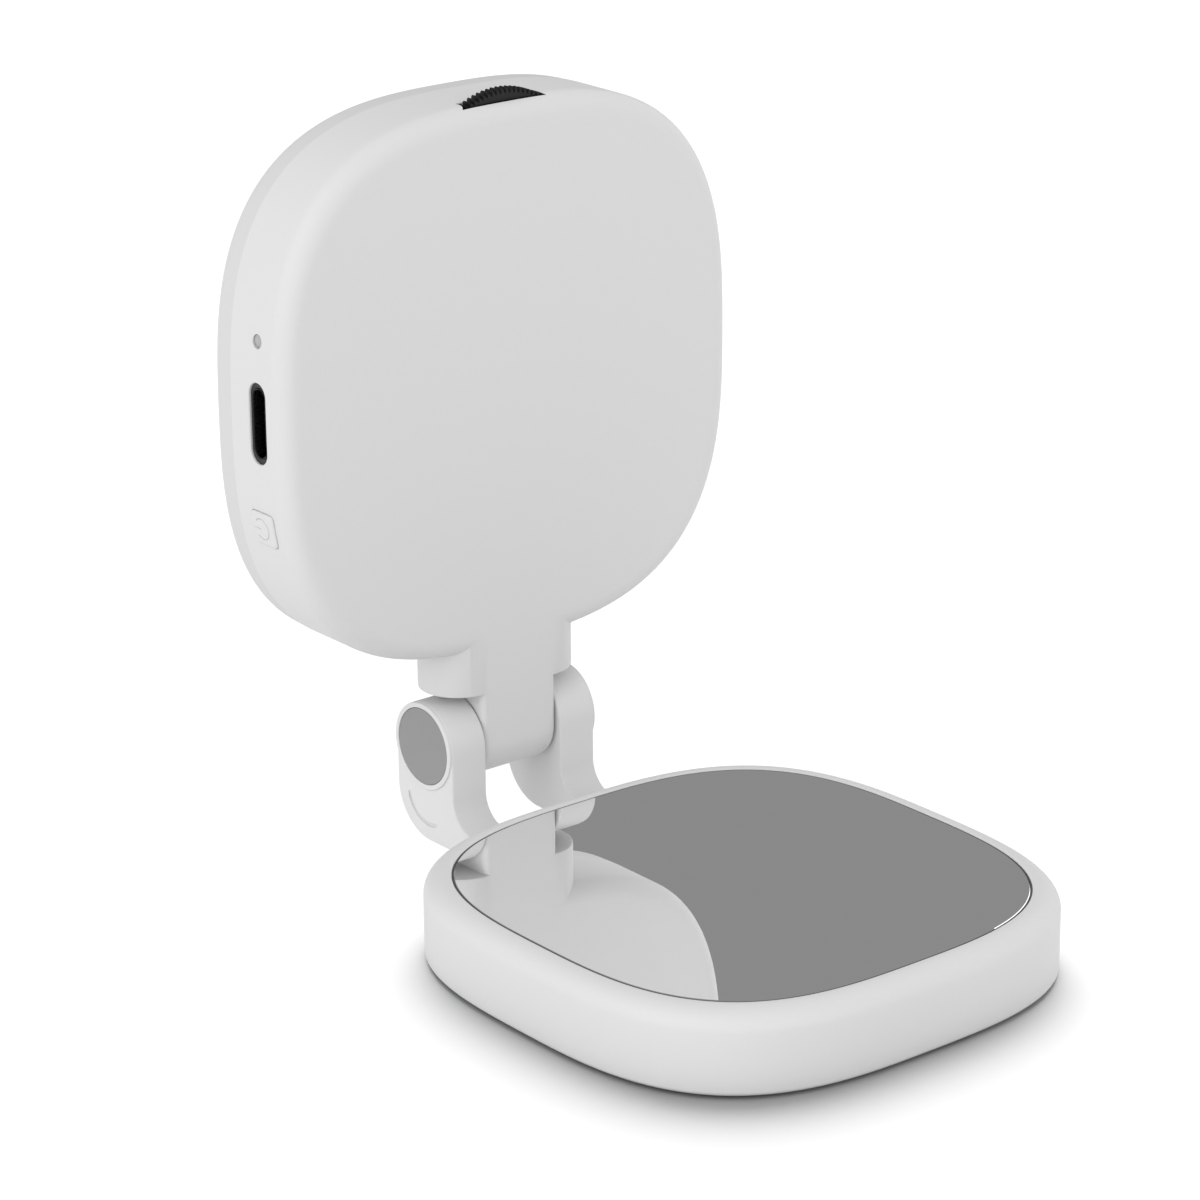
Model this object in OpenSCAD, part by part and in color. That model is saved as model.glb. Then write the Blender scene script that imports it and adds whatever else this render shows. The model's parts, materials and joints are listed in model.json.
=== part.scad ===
// Folding document camera: a flat base with a mirror in its top, two hinge
// arms behind it, and a camera head that tilts between them.
// X runs along the hinge, with the controls on the -X side. The base lies
// towards -Y, the lens looks towards +Y, and Z is up from the table.

/* [Head] */
// Width of the head
head_w = 70; // [69:0.5:71]
// Height of the head
head_h = 70.1; // [69:0.1:71]
// Squareness of the head's outline: 2 is an ellipse
head_square = 2.88; // [2.7:0.02:3.1]
// Height of the head's centre above the table
head_z = 63.45; // [63.2:0.05:64]
// Depth of the head's back shell
shell_d = 10.65; // [10.6:0.05:10.8]
// Depth of the head's front cover
cover_d = 3.25; // [3.2:0.05:3.3]
// Radius round the edge of the head's back face
head_round = 2.5; // [2:0.1:2.7]
// Wall thickness of the head's back shell
shell_wall = 1.5; // [1.4:0.1:1.6]

/* [Base] */
// Width of the base
base_w = 67.8; // [67:0.2:69]
// Length of the base, front to back
base_l = 69; // [68.6:0.2:70]
// Squareness of the base's outline
base_square = 3.06; // [2.9:0.02:3.2]
// Height of the base's top above the table
base_t = 10.7; // [10.4:0.1:10.8]
// Radius round the base's top edge
base_round = 2.5; // [2:0.1:2.5]
// Radius round the base's bottom edge
base_foot_round = 0.6; // [0.4:0.1:0.8]
// Width of the rim between the base's outside and the mirror's seat
rim_w = 3.08; // [2.9:0.02:3.1]
// Thickness of the mirror glass
mirror_t = 1.8; // [1.6:0.1:1.8]
// How far the rubber grip pad stands below the base
pad_proud = 0.4; // [0.3:0.1:0.5]

/* [Hinge] */
// Distance of the hinge axis behind the base's centre
hinge_y = 48.2; // [47.8:0.1:48.6]
// Radius of the tongue's round end, and half the neck's depth
tongue_r = 5.2; // [5.1:0.05:5.25]
// Width of the tongue between the arms
tongue_w = 11.8; // [11.6:0.1:11.8]
// Gap between the folded head and the base's top
fold_gap = 0.2; // [0.2:0.1:0.6]
// Distance between the arms' inner faces
arm_gap = 12; // [12:0.1:12.2]
// Thickness of each arm
arm_t = 5.5; // [5.4:0.1:5.7]
// Radius of each arm's knuckle, and half the arm's depth
arm_r = 5.8; // [5.6:0.1:5.9]
// Height of the raised ring on each knuckle
ring_h = 0.25; // [0.2:0.05:0.4]
// Radius of the hinge bolt
pin_r = 1.5; // [1.4:0.1:1.6]
// Running clearance between the hinge bolt and its bush
pin_play = 0.05; // [0.03:0.01:0.08]
// Radius of the grey caps over the bolt's ends
cap_r = 5.05; // [4.9:0.05:5.1]
// Half the width of the neck that joins the head to its tongue
neck_half_w = 11; // [10.6:0.1:11.2]
// Height of the neck's underside above the hinge axis
neck_rise = 7; // [6.6:0.1:7.4]

/* [Controls] */
// Radius of the dimmer wheel
wheel_r = 12; // [11.6:0.1:12.2]
// Thickness of the dimmer wheel
wheel_t = 1.7; // [1.6:0.1:1.7]
// How far the dimmer wheel stands out of the head's top
wheel_proud = 1.4; // [1.2:0.1:1.6]
// Number of teeth round the dimmer wheel
wheel_teeth = 104; // [80:4:120]
// Width of the power button, front to back
button_w = 4.4; // [4.2:0.1:4.6]
// Height of the power button
button_h = 4.6; // [4.2:0.1:4.8]
// How far the power button can be pressed
button_travel = 0.3; // [0.2:0.05:0.3]

/* [Hidden] */

$fn = 64;
RIM = 96;               // points round a shell's outline
ROUND_STEPS = 6;        // steps round a shell's rounded edge
eps = 0.01;

// Hinge and head levels along Y and Z
hinge_z = base_t + fold_gap + tongue_r;
back_y = hinge_y - tongue_r;
seam_y = back_y + shell_d;
front_y = seam_y + cover_d;
inner_y = back_y + shell_wall;
control_y = hinge_y;
wall_top_z = head_z + head_h / 2;
neck_top_z = head_z - head_h / 2 + 3.3;

// Boards, measured along Y
board_y = 49.8;
board_t = 1;
led_board_y = 51.5;
led_board_t = 0.8;
post_at = 20.5;         // board posts, from the head's centre
post_r = 3;
post_spigot_r = 1.9;
post_pilot_r = 0.85;

// Light diffuser and lens
window_half = 29.5;
flange_half = 30.6;
cover_wall = 1.3;
lip_gap = 0.15;
lip_t = 1.2;
lip_d = 1.2;
diffuser_flange_t = 1.3;
bezel_r = 6.5;
bezel_bore_r = 3.5;
barrel_r = 3;
barrel_bore_r = 2.2;
holder_w = 8.6;
led_count = 24;
led_ring_r = 22;

// Controls, measured from the head's centre
usb_l = 8.94;
usb_t = 3.2;
usb_x = -34.75;
usb_depth = 7.2;
usb_wall = 0.3;
blade_half_t = 0.35;
blade_half_l = 3.3;
port_gap = 0.1;
port_end_gap = 0.65;
port_step_d = 0.8;
led_up = 10.2;
pipe_r = 0.85;
button_down = 13.4;
button_proud = 0.3;
button_back_x = -31.2;
switch_x = -30.4;
stem_r = 0.9;
control_gap = 0.1;
wheel_y = back_y + 1.6;
wheel_z = wall_top_z + wheel_proud - wheel_r;
wheel_slot_gap = 0.3;
wheel_side_gap = 0.25;
tooth_depth = 0.45;
pot_w = 10;
pot_bore_r = 2.05;
pot_stem_r = 2;

// Battery
battery_w = 33;
battery_h = 21;
battery_t = 4.3;
battery_z = 46.4;

// Hinge parts, measured out from the middle along X
arm_in_x = arm_gap / 2;
arm_out_x = arm_in_x + arm_t;
ring_x = arm_out_x + ring_h;
ring_r = arm_r - 0.05;
pocket_x = arm_in_x + 2.4;
cap_seat_x = arm_in_x + 4.8;
cap_t = 0.9;
cap_gap = 0.06;
head_pocket_r = 3;
bolt_head_r = 2.7;
bolt_head_t = 1.3;
nut_flats = 5;
nut_t = 1.8;
washer_t = 0.56;
washer_r = 4.1;
bush_r = 2.4;
tongue_edge_r = 1;

// Arms, as heights and radii of their side view
foot_low_z = 3.3;
foot_top_z = 6.5;
heel_r = 6.6;
instep_r = 3.8;
groove_in = 2;
groove_w = 0.6;
groove_d = 0.35;
yoke_front_y = 17;
yoke_plate_end_y = 31;
yoke_plate_half_w = 15;
yoke_screw_x = 8.6;
yoke_screw_y = [20.5, 27.5];

// Base levels and its inside
shell_low_z = pad_proud;
plate_t = 1.2;
base_wall = 1.6;
deck_low_z = 7;
pad_t = 0.3;
seat_z = base_t - mirror_t - pad_t;
mirror_z = seat_z + pad_t;
trim_w = 0.17;
trim_gap = 0.03;
trim_drop = 0.05;
base_post_at = 19;
base_post_r = 2.6;
base_boss_r = 3.4;
base_boss_top_z = 2.8;
screw_head_r = 2;
screw_shank_r = 0.9;
screw_hole_r = 1.1;
grip_inset = 5.5;
grip_seat_d = 0.5;
slot_gap = 0.1;
ballast_z = 4.6;
ballast_t = 2.3;

white = [0.93, 0.93, 0.93];
grey = [0.58, 0.58, 0.58];
black = [0.08, 0.08, 0.09];
steel = [0.7, 0.71, 0.73];

// ---- shared shapes ----

// A rounded-square outline of half widths a and b
function squircle(a, b, n) = [
    for (i = [0 : RIM - 1])
        let (t = i * 360 / RIM,
             r = pow(pow(abs(cos(t)) / a, n) + pow(abs(sin(t)) / b, n), -1 / n))
        [r * cos(t), r * sin(t)]
];

function head_outline(inset) =
    squircle(head_w / 2 - inset, head_h / 2 - inset, head_square);

function base_outline(inset) =
    squircle(base_w / 2 - inset, base_l / 2 - inset, base_square);

// Insets and levels round a convex top edge of radius r
function round_over(r, top) = [
    for (k = [1 : ROUND_STEPS])
        let (a = 90 * k / ROUND_STEPS)
        [r * (1 - cos(a)), top - r + r * sin(a)]
];

// A closed solid through outlines of equal point count, lowest first
module loft(outlines, levels) {
    last = len(outlines) - 1;
    points = [
        for (k = [0 : last])
            for (p = outlines[k])
                [p[0], p[1], levels[k]]
    ];
    sides = [
        for (k = [0 : last - 1])
            for (i = [0 : RIM - 1])
                let (j = (i + 1) % RIM)
                [k * RIM + i, (k + 1) * RIM + i, (k + 1) * RIM + j, k * RIM + j]
    ];
    bottom = [for (i = [0 : RIM - 1]) i];
    top = [for (i = [0 : RIM - 1]) last * RIM + RIM - 1 - i];
    polyhedron(points, concat([bottom], sides, [top]), convexity = 4);
}

// Draws a plan in X and Z as a plate from y0 to y1
module plate_y(y0, y1) {
    translate([0, y1, 0]) rotate([90, 0, 0]) linear_extrude(y1 - y0) children();
}

// Draws a side view in Y and Z as a plate from x0 to x1
module plate_x(x0, x1) {
    translate([x0, 0, 0]) rotate([90, 0, 90]) linear_extrude(x1 - x0) children();
}

// A round bar or hole along Y, centred at (x, z)
module rod_y(x, z, r, y0, y1) {
    translate([x, y1, z]) rotate([90, 0, 0]) cylinder(r = r, h = y1 - y0);
}

// A round bar or hole along X, centred at (y, z)
module rod_x(y, z, r, x0, x1) {
    translate([x0, y, z]) rotate([0, 90, 0]) cylinder(r = r, h = x1 - x0);
}

module box(low, high) {
    translate(low) cube(high - low);
}

module head_plate(inset, y0, y1) {
    plate_y(y0, y1) translate([0, head_z]) polygon(head_outline(inset));
}

module base_slab(inset, z0, z1) {
    translate([0, 0, z0]) linear_extrude(z1 - z0) polygon(base_outline(inset));
}

// A slot shape with round ends: length up Z, thickness along Y
module slot_profile(length, thickness) {
    square([thickness, length - thickness], center = true);
    for (s = [-1, 1])
        translate([0, s * (length - thickness) / 2]) circle(d = thickness);
}

module at_posts(spread) {
    for (x = [-spread, spread])
        for (z = [-spread, spread])
            translate([x, 0, head_z + z]) children();
}

module at_base_posts() {
    for (x = [-base_post_at, base_post_at])
        for (y = [-base_post_at, base_post_at])
            translate([x, y, 0]) children();
}

module at_yoke_screws() {
    for (x = [-yoke_screw_x, yoke_screw_x])
        for (y = yoke_screw_y)
            translate([x, y, 0]) children();
}

module both_sides() {
    for (s = [0, 1])
        mirror([s, 0, 0]) children();
}

// ---- head: casing ----

module neck() {
    translate([0, hinge_y, hinge_z + neck_rise])
        linear_extrude(neck_top_z - hinge_z - neck_rise) {
            square([2 * (neck_half_w - tongue_r), 2 * tongue_r], center = true);
            for (s = [-1, 1])
                translate([s * (neck_half_w - tongue_r), 0]) circle(r = tongue_r);
        }
}

module tongue_plan() {
    r = tongue_edge_r;
    square([tongue_w - 2 * r, 2 * tongue_r], center = true);
    square([tongue_w, 2 * tongue_r - 2 * r], center = true);
    for (x = [-1, 1])
        for (y = [-1, 1])
            translate([x * (tongue_w / 2 - r), y * (tongue_r - r)]) circle(r = r);
}

module tongue() {
    intersection() {
        plate_x(-tongue_w / 2, tongue_w / 2) {
            translate([hinge_y, hinge_z]) circle(r = tongue_r);
            translate([back_y, hinge_z]) square([2 * tongue_r, neck_top_z - hinge_z]);
        }
        translate([0, hinge_y, 0]) linear_extrude(neck_top_z) tongue_plan();
    }
}

module shell_outer() {
    steps = round_over(head_round, shell_d);
    translate([0, seam_y, head_z]) rotate([90, 0, 0])
        loft(
            concat([head_outline(0), head_outline(0)], [for (s = steps) head_outline(s[0])]),
            concat([0, shell_d - head_round], [for (s = steps) s[1]])
        );
}

module shell_openings() {
    // dimmer wheel, inlet, status light and power button
    rod_y(0, wheel_z, wheel_r + wheel_slot_gap, wheel_y - wheel_side_gap,
        wheel_y + wheel_t + wheel_side_gap);
    plate_x(-head_w / 2 - 1, -head_w / 2 + 4)
        translate([control_y, head_z]) slot_profile(usb_l + 2 * port_gap, usb_t + 2 * port_gap);
    plate_x(-head_w / 2 - 1, usb_x + port_step_d)
        translate([control_y, head_z]) slot_profile(usb_l + 2 * port_end_gap, usb_t + 2 * port_gap);
    rod_x(control_y, head_z + led_up, pipe_r + 0.05, -head_w / 2 - 1, -head_w / 2 + 4);
    box([-head_w / 2 - 1, control_y - button_w / 2 - control_gap,
         head_z - button_down - button_h / 2 - control_gap],
        [-head_w / 2 + 4, control_y + button_w / 2 + control_gap,
         head_z - button_down + button_h / 2 + control_gap]);
}

module shell_post() {
    difference() {
        union() {
            rod_y(0, 0, post_r, inner_y - 0.5, board_y);
            rod_y(0, 0, post_spigot_r, board_y - eps, led_board_y);
        }
        rod_y(0, 0, post_pilot_r, inner_y + 1, led_board_y + 1);
    }
}

module battery_fence() {
    rib = 1;
    gap = 0.3;
    half_w = battery_w / 2 + gap;
    low_z = battery_z - battery_h / 2 - gap;
    both_sides()
        box([half_w - 8, inner_y - 0.5, low_z - rib], [half_w, inner_y + 3, low_z]);
    both_sides()
        box([half_w, inner_y - 0.5, battery_z + 1], [half_w + rib, inner_y + 3, battery_z + 8]);
}

module head_shell() {
    color(white) {
        difference() {
            union() {
                shell_outer();
                neck();
                tongue();
            }
            head_plate(shell_wall, inner_y, seam_y + 1);
            shell_openings();
            rod_x(hinge_y, hinge_z, bush_r, -tongue_w, tongue_w);
            both_sides()
                rod_x(hinge_y, hinge_z, washer_r + 0.1, tongue_w / 2 - 0.5, tongue_w);
        }
        at_posts(post_at) shell_post();
        battery_fence();
    }
}

module head_cover() {
    // how far the front edge is drawn in, and how far behind the front that is
    edge = [[0, cover_d], [0.12, 0.4], [0.3, 0.15], [0.7, 0]];
    lip_out = shell_wall + lip_gap;
    color(white) {
        difference() {
            translate([0, seam_y, head_z]) rotate([-90, 0, 0])
                loft([for (e = edge) head_outline(e[0])], [for (e = edge) cover_d - e[1]]);
            plate_y(seam_y - 1, front_y - cover_wall)
                translate([0, head_z]) polygon(head_outline(head_w / 2 - flange_half));
            plate_y(seam_y - 1, front_y + 1)
                translate([0, head_z]) polygon(head_outline(head_w / 2 - window_half));
        }
        difference() {
            head_plate(lip_out, seam_y - lip_d, seam_y + eps);
            head_plate(lip_out + lip_t, seam_y - lip_d - 1, seam_y + 1);
        }
    }
}

module light_diffuser() {
    lip_y = front_y - cover_wall;
    color([0.97, 0.97, 0.95]) difference() {
        union() {
            head_plate(head_w / 2 - flange_half + 0.1, lip_y - diffuser_flange_t, lip_y);
            head_plate(head_w / 2 - window_half + 0.1, lip_y - eps, front_y - 0.2);
        }
        rod_y(0, head_z, bezel_r + 0.05, seam_y - 1, front_y + 1);
    }
}

// ---- head: camera ----

module lens_bezel() {
    low_y = seam_y - 0.35;
    color(black) difference() {
        union() {
            rod_y(0, head_z, bezel_r + 0.9, low_y, low_y + 0.9);
            rod_y(0, head_z, bezel_r, low_y, front_y - 0.1);
        }
        rod_y(0, head_z, bezel_bore_r, low_y - 1, front_y + 1);
        rod_y(0, head_z, bezel_bore_r + 1.1, front_y - 1.3, front_y + 1);
    }
}

module lens_window() {
    color([0.75, 0.85, 0.9]) rod_y(0, head_z, bezel_bore_r + 1, front_y - 1.25, front_y - 0.45);
}

module lens_barrel() {
    color(black) difference() {
        union() {
            rod_y(0, head_z, barrel_r, board_y + 1.9, seam_y + 1.5);
            rod_y(0, head_z, barrel_r + 0.4, seam_y - 0.3, seam_y + 1.5);
        }
        rod_y(0, head_z, barrel_bore_r, board_y, seam_y + 2);
    }
}

// A lens element of thickness t with one domed face towards +Y
module lens(y0, t, dome_r) {
    intersection() {
        rod_y(0, head_z, barrel_bore_r - 0.02, y0, y0 + t);
        translate([0, y0 + t - dome_r, head_z]) sphere(r = dome_r);
    }
}

module lens_elements() {
    color([0.8, 0.88, 0.95]) {
        lens(seam_y - 1.5, 1, 6);
        lens(seam_y + 0.2, 1.1, 4);
    }
}

module camera_holder() {
    half = holder_w / 2;
    low_y = board_y + board_t;
    color([0.2, 0.2, 0.2]) difference() {
        box([-half, low_y, head_z - half], [half, low_y + 2.4, head_z + half]);
        box([-half + 1, low_y - 1, head_z - half + 1], [half - 1, low_y + 0.8, head_z + half - 1]);
        rod_y(0, head_z, barrel_r + 0.02, low_y, low_y + 3);
    }
}

module image_sensor() {
    low_y = board_y + board_t;
    color([0.25, 0.2, 0.3])
        box([-2.8, low_y, head_z - 2.4], [2.8, low_y + 0.7, head_z + 2.4]);
}

// ---- head: electronics ----

module led_board() {
    color([0.95, 0.95, 0.9]) difference() {
        head_plate(4.4, led_board_y, led_board_y + led_board_t);
        rod_y(0, head_z, 8, led_board_y - 1, led_board_y + 2);
        at_posts(post_at) rod_y(0, 0, screw_hole_r, led_board_y - 1, led_board_y + 2);
    }
}

module ring_leds() {
    low_y = led_board_y + led_board_t;
    color([0.98, 0.9, 0.5])
        for (k = [0 : led_count - 1])
            translate([0, 0, head_z]) rotate([0, (k + 0.5) * 360 / led_count, 0])
                box([led_ring_r - 1.75, low_y, -1.4], [led_ring_r + 1.75, low_y + 0.7, 1.4]);
}

module main_board() {
    notch_z = head_z - button_down - button_h / 2 - 0.5;
    color([0.05, 0.35, 0.2]) difference() {
        head_plate(shell_wall + 1.3, board_y, board_y + board_t);
        at_posts(post_at) rod_y(0, 0, post_spigot_r + 0.05, board_y - 1, board_y + 2);
        // notch that clears the power button's travel
        box([-head_w / 2, board_y - 1, notch_z],
            [button_back_x + button_travel + 0.3, board_y + 2, notch_z + button_h + 1]);
    }
}

module board_link() {
    color(black)
        box([-4, board_y + board_t, head_z + 14], [4, led_board_y, head_z + 16.4]);
}

module board_screws() {
    head_y = led_board_y + led_board_t;
    color(steel) at_posts(post_at) {
        rod_y(0, 0, screw_head_r, head_y, head_y + 0.9);
        rod_y(0, 0, post_pilot_r - 0.02, head_y - 5, head_y + eps);
    }
}

module battery() {
    half_w = battery_w / 2;
    top_z = battery_z + battery_h / 2;
    color([0.75, 0.76, 0.8]) {
        box([-half_w, inner_y + 0.3, battery_z - battery_h / 2],
            [half_w, inner_y + 0.3 + battery_t, top_z]);
        box([-half_w + 5, inner_y + 1.5, top_z - eps], [half_w - 5, inner_y + 2.5, top_z + 3]);
    }
}

module battery_leads() {
    color([0.8, 0.1, 0.1])
        for (x = [-2, 2])
            rod_y(x, battery_z + battery_h / 2 + 1.5, 0.5, inner_y + 2.5, board_y);
}

module usb_shell() {
    color(steel) difference() {
        plate_x(usb_x, usb_x + usb_depth)
            translate([control_y, head_z]) slot_profile(usb_l, usb_t);
        plate_x(usb_x - 1, usb_x + usb_depth - usb_wall)
            translate([control_y, head_z])
                slot_profile(usb_l - 2 * usb_wall, usb_t - 2 * usb_wall);
    }
}

module usb_tongue() {
    end_x = usb_x + usb_depth - usb_wall;
    color(black) {
        box([usb_x + 1, control_y - blade_half_t, head_z - blade_half_l],
            [end_x, control_y + blade_half_t, head_z + blade_half_l]);
        plate_x(end_x - 1.2, end_x)
            translate([control_y, head_z])
                slot_profile(usb_l - 2 * usb_wall, usb_t - 2 * usb_wall);
    }
}

module status_light() {
    z = head_z + led_up;
    color([0.9, 0.95, 0.9]) {
        rod_x(control_y, z, pipe_r, -head_w / 2 + 0.45, -31.6);
        rod_x(control_y, z, pipe_r + 0.5, -32.9, -32.3);
    }
}

module status_led() {
    z = head_z + led_up;
    color([0.95, 0.95, 0.9]) box([-31.4, board_y - 2.4, z - 1.5], [-30.2, board_y, z + 1.5]);
}

module power_button() {
    z = head_z - button_down;
    half_w = button_w / 2;
    half_h = button_h / 2;
    r = 0.8;
    color(white) {
        // the cap's face follows the curve of the wall, a little proud of it
        intersection() {
            plate_x(-head_w / 2 - 1, button_back_x) translate([control_y, z]) {
                square([button_w, button_h - 2 * r], center = true);
                square([button_w - 2 * r, button_h], center = true);
                for (y = [-1, 1])
                    for (s = [-1, 1])
                        translate([y * (half_w - r), s * (half_h - r)]) circle(r = r);
            }
            head_plate(-button_proud, back_y, seam_y);
        }
        // flange behind the wall that keeps the button in, shy of the board
        intersection() {
            box([-head_w / 2, control_y - half_w - 0.6, z - half_h - 0.7],
                [button_back_x, control_y + 1.4, z + half_h + 0.7]);
            head_plate(shell_wall + control_gap, back_y, seam_y);
        }
    }
}

module switch_stem() {
    color(grey)
        rod_x(control_y, head_z - button_down, stem_r, button_back_x, switch_x + 0.6);
}

module tact_switch() {
    z = head_z - button_down;
    color([0.15, 0.15, 0.15]) difference() {
        box([switch_x, board_y - 3.2, z - 3], [switch_x + 3.5, board_y, z + 3]);
        rod_x(control_y, z, stem_r + 0.05, switch_x - 1, switch_x + 1.2);
    }
}

module dimmer_wheel() {
    color(black) {
        plate_y(wheel_y, wheel_y + wheel_t) translate([0, wheel_z]) difference() {
            circle(r = wheel_r, $fn = 128);
            for (k = [0 : wheel_teeth - 1])
                rotate(k * 360 / wheel_teeth)
                    translate([wheel_r, 0]) rotate(45) square(tooth_depth * sqrt(2), center = true);
        }
        rod_y(0, wheel_z, pot_stem_r, wheel_y + wheel_t - eps, board_y - 0.4);
        rod_y(0, wheel_z, pot_stem_r + 1, wheel_y + wheel_t - eps, wheel_y + wheel_t + 0.25);
    }
}

module dimmer_pot() {
    half = pot_w / 2;
    low_y = wheel_y + wheel_t + 0.35;
    color([0.3, 0.3, 0.32]) difference() {
        box([-half, low_y, wheel_z - half], [half, board_y, wheel_z + half]);
        rod_y(0, wheel_z, pot_bore_r, low_y - 1, board_y - 0.3);
    }
}

// ---- hinge ----

module hinge_bush() {
    color([0.75, 0.6, 0.3]) difference() {
        rod_x(hinge_y, hinge_z, bush_r, -tongue_w / 2 + 0.5, tongue_w / 2 - 0.5);
        rod_x(hinge_y, hinge_z, pin_r + pin_play, -tongue_w, tongue_w);
    }
}

module friction_washers() {
    color([0.85, 0.83, 0.75]) both_sides() difference() {
        rod_x(hinge_y, hinge_z, washer_r, tongue_w / 2 - 0.5, tongue_w / 2 - 0.5 + washer_t);
        rod_x(hinge_y, hinge_z, pin_r + pin_play, tongue_w / 4, tongue_w);
    }
}

// Side view of one arm: knuckle, stem, heel and the foot that enters the base
module arm_side() {
    heel_y = hinge_y + arm_r - heel_r;
    heel_z = foot_low_z + heel_r;
    front = hinge_y - arm_r;
    translate([hinge_y, hinge_z]) circle(r = arm_r, $fn = 96);
    translate([front, heel_z]) square([2 * arm_r, hinge_z - heel_z]);
    // only the heel's part behind the arm's front and below its centre
    intersection() {
        translate([heel_y, heel_z]) circle(r = heel_r, $fn = 96);
        translate([front, foot_low_z]) square([2 * arm_r, heel_r]);
    }
    translate([yoke_plate_end_y, foot_low_z])
        square([heel_y - yoke_plate_end_y, foot_top_z - foot_low_z]);
    difference() {
        translate([front - instep_r, foot_low_z])
            square([heel_y - front + instep_r, foot_top_z + instep_r - foot_low_z]);
        translate([front - instep_r, foot_top_z + instep_r]) circle(r = instep_r);
    }
}

// The shallow arc cut into each arm's outer face
module arm_groove() {
    mid_r = heel_r - groove_in - groove_w / 2;
    translate([hinge_y + arm_r - heel_r, foot_low_z + heel_r]) {
        intersection() {
            difference() {
                circle(r = mid_r + groove_w / 2);
                circle(r = mid_r - groove_w / 2);
            }
            rotate(-112) polygon([[0, 0], [9, 0], [9 * cos(50), 9 * sin(50)], [9 * cos(100), 9 * sin(100)]]);
        }
        for (a = [-112, -12])
            rotate(a) translate([mid_r, 0]) circle(d = groove_w + 0.06);
    }
}

module hinge_arm() {
    difference() {
        union() {
            plate_x(arm_in_x, arm_out_x) arm_side();
            rod_x(hinge_y, hinge_z, ring_r, arm_out_x - eps, ring_x);
        }
        rod_x(hinge_y, hinge_z, pin_r + pin_play, arm_in_x - 1, ring_x + 1);
        rod_x(hinge_y, hinge_z, cap_r + cap_gap, cap_seat_x, ring_x + 1);
        plate_x(arm_out_x - groove_d, arm_out_x + 1) arm_groove();
    }
}

module hinge_yoke() {
    color(white) difference() {
        union() {
            both_sides() hinge_arm();
            box([-yoke_plate_half_w, yoke_front_y, foot_low_z],
                [yoke_plate_half_w, yoke_plate_end_y + eps, foot_top_z]);
        }
        at_yoke_screws() translate([0, 0, foot_low_z - 1]) cylinder(r = screw_hole_r, h = 6);
        // pocket for the bolt's head on one side, and for the nut on the other
        rod_x(hinge_y, hinge_z, head_pocket_r, -cap_seat_x - eps, -pocket_x);
        plate_x(pocket_x, cap_seat_x + eps)
            translate([hinge_y, hinge_z]) circle(d = (nut_flats + 0.1) / cos(30), $fn = 6);
    }
}

module hinge_bolt() {
    head_x = -pocket_x - 0.4;
    color(steel) {
        rod_x(hinge_y, hinge_z, pin_r, head_x - eps, pocket_x + nut_t);
        difference() {
            rod_x(hinge_y, hinge_z, bolt_head_r, head_x - bolt_head_t, head_x);
            plate_x(head_x - bolt_head_t - 1, head_x - bolt_head_t + 0.6)
                translate([hinge_y, hinge_z]) circle(d = 2.3, $fn = 6);
        }
    }
}

module hinge_nut() {
    color(steel) plate_x(pocket_x, pocket_x + nut_t) translate([hinge_y, hinge_z]) difference() {
        circle(d = nut_flats / cos(30), $fn = 6);
        circle(r = pin_r + 0.02);
    }
}

module spring_washer() {
    color(steel) difference() {
        rod_x(hinge_y, hinge_z, bolt_head_r, -pocket_x - 0.4, -pocket_x);
        rod_x(hinge_y, hinge_z, pin_r + 0.05, -pocket_x - 1, -pocket_x + 1);
    }
}

module hinge_caps() {
    color(grey) both_sides() rod_x(hinge_y, hinge_z, cap_r, cap_seat_x, cap_seat_x + cap_t);
}

module yoke_screws() {
    color(steel) at_yoke_screws() {
        translate([0, 0, foot_low_z - 1]) cylinder(r = screw_head_r, h = 1);
        translate([0, 0, foot_low_z - eps]) cylinder(r = screw_shank_r, h = 4.7);
    }
}

// ---- base ----

// Where the arms' feet pass through the back wall
module arm_slots(gap, z0, z1) {
    both_sides()
        box([arm_in_x - gap, base_l / 2 - 6, z0], [arm_out_x + gap, base_l / 2 + 1, z1]);
}

module base_outer() {
    steps = round_over(base_round, base_t);
    foot = base_foot_round;
    low = [[foot, 0], [foot * 0.3, foot * 0.3], [0, foot]];
    loft(
        concat([for (s = low) base_outline(s[0])], [base_outline(0)], [for (s = steps) base_outline(s[0])]),
        concat([for (s = low) shell_low_z + s[1]], [base_t - base_round], [for (s = steps) s[1]])
    );
}

module base_shell() {
    color(white) {
        difference() {
            base_outer();
            base_slab(base_wall, shell_low_z - 1, deck_low_z);
            base_slab(rim_w, seat_z, base_t + 1);
            arm_slots(slot_gap, 0, foot_top_z + slot_gap);
            at_yoke_screws() translate([0, 0, deck_low_z - 1]) cylinder(r = screw_shank_r, h = 2.1);
        }
        at_base_posts() difference() {
            translate([0, 0, base_boss_top_z]) cylinder(r = base_post_r, h = deck_low_z + 0.5 - base_boss_top_z);
            translate([0, 0, base_boss_top_z - 1]) cylinder(r = screw_shank_r, h = 5);
        }
        at_yoke_screws() difference() {
            translate([0, 0, foot_top_z]) cylinder(r = base_post_r, h = deck_low_z + 0.5 - foot_top_z);
            translate([0, 0, foot_top_z - 1]) cylinder(r = screw_shank_r, h = 2.6);
        }
    }
}

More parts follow.
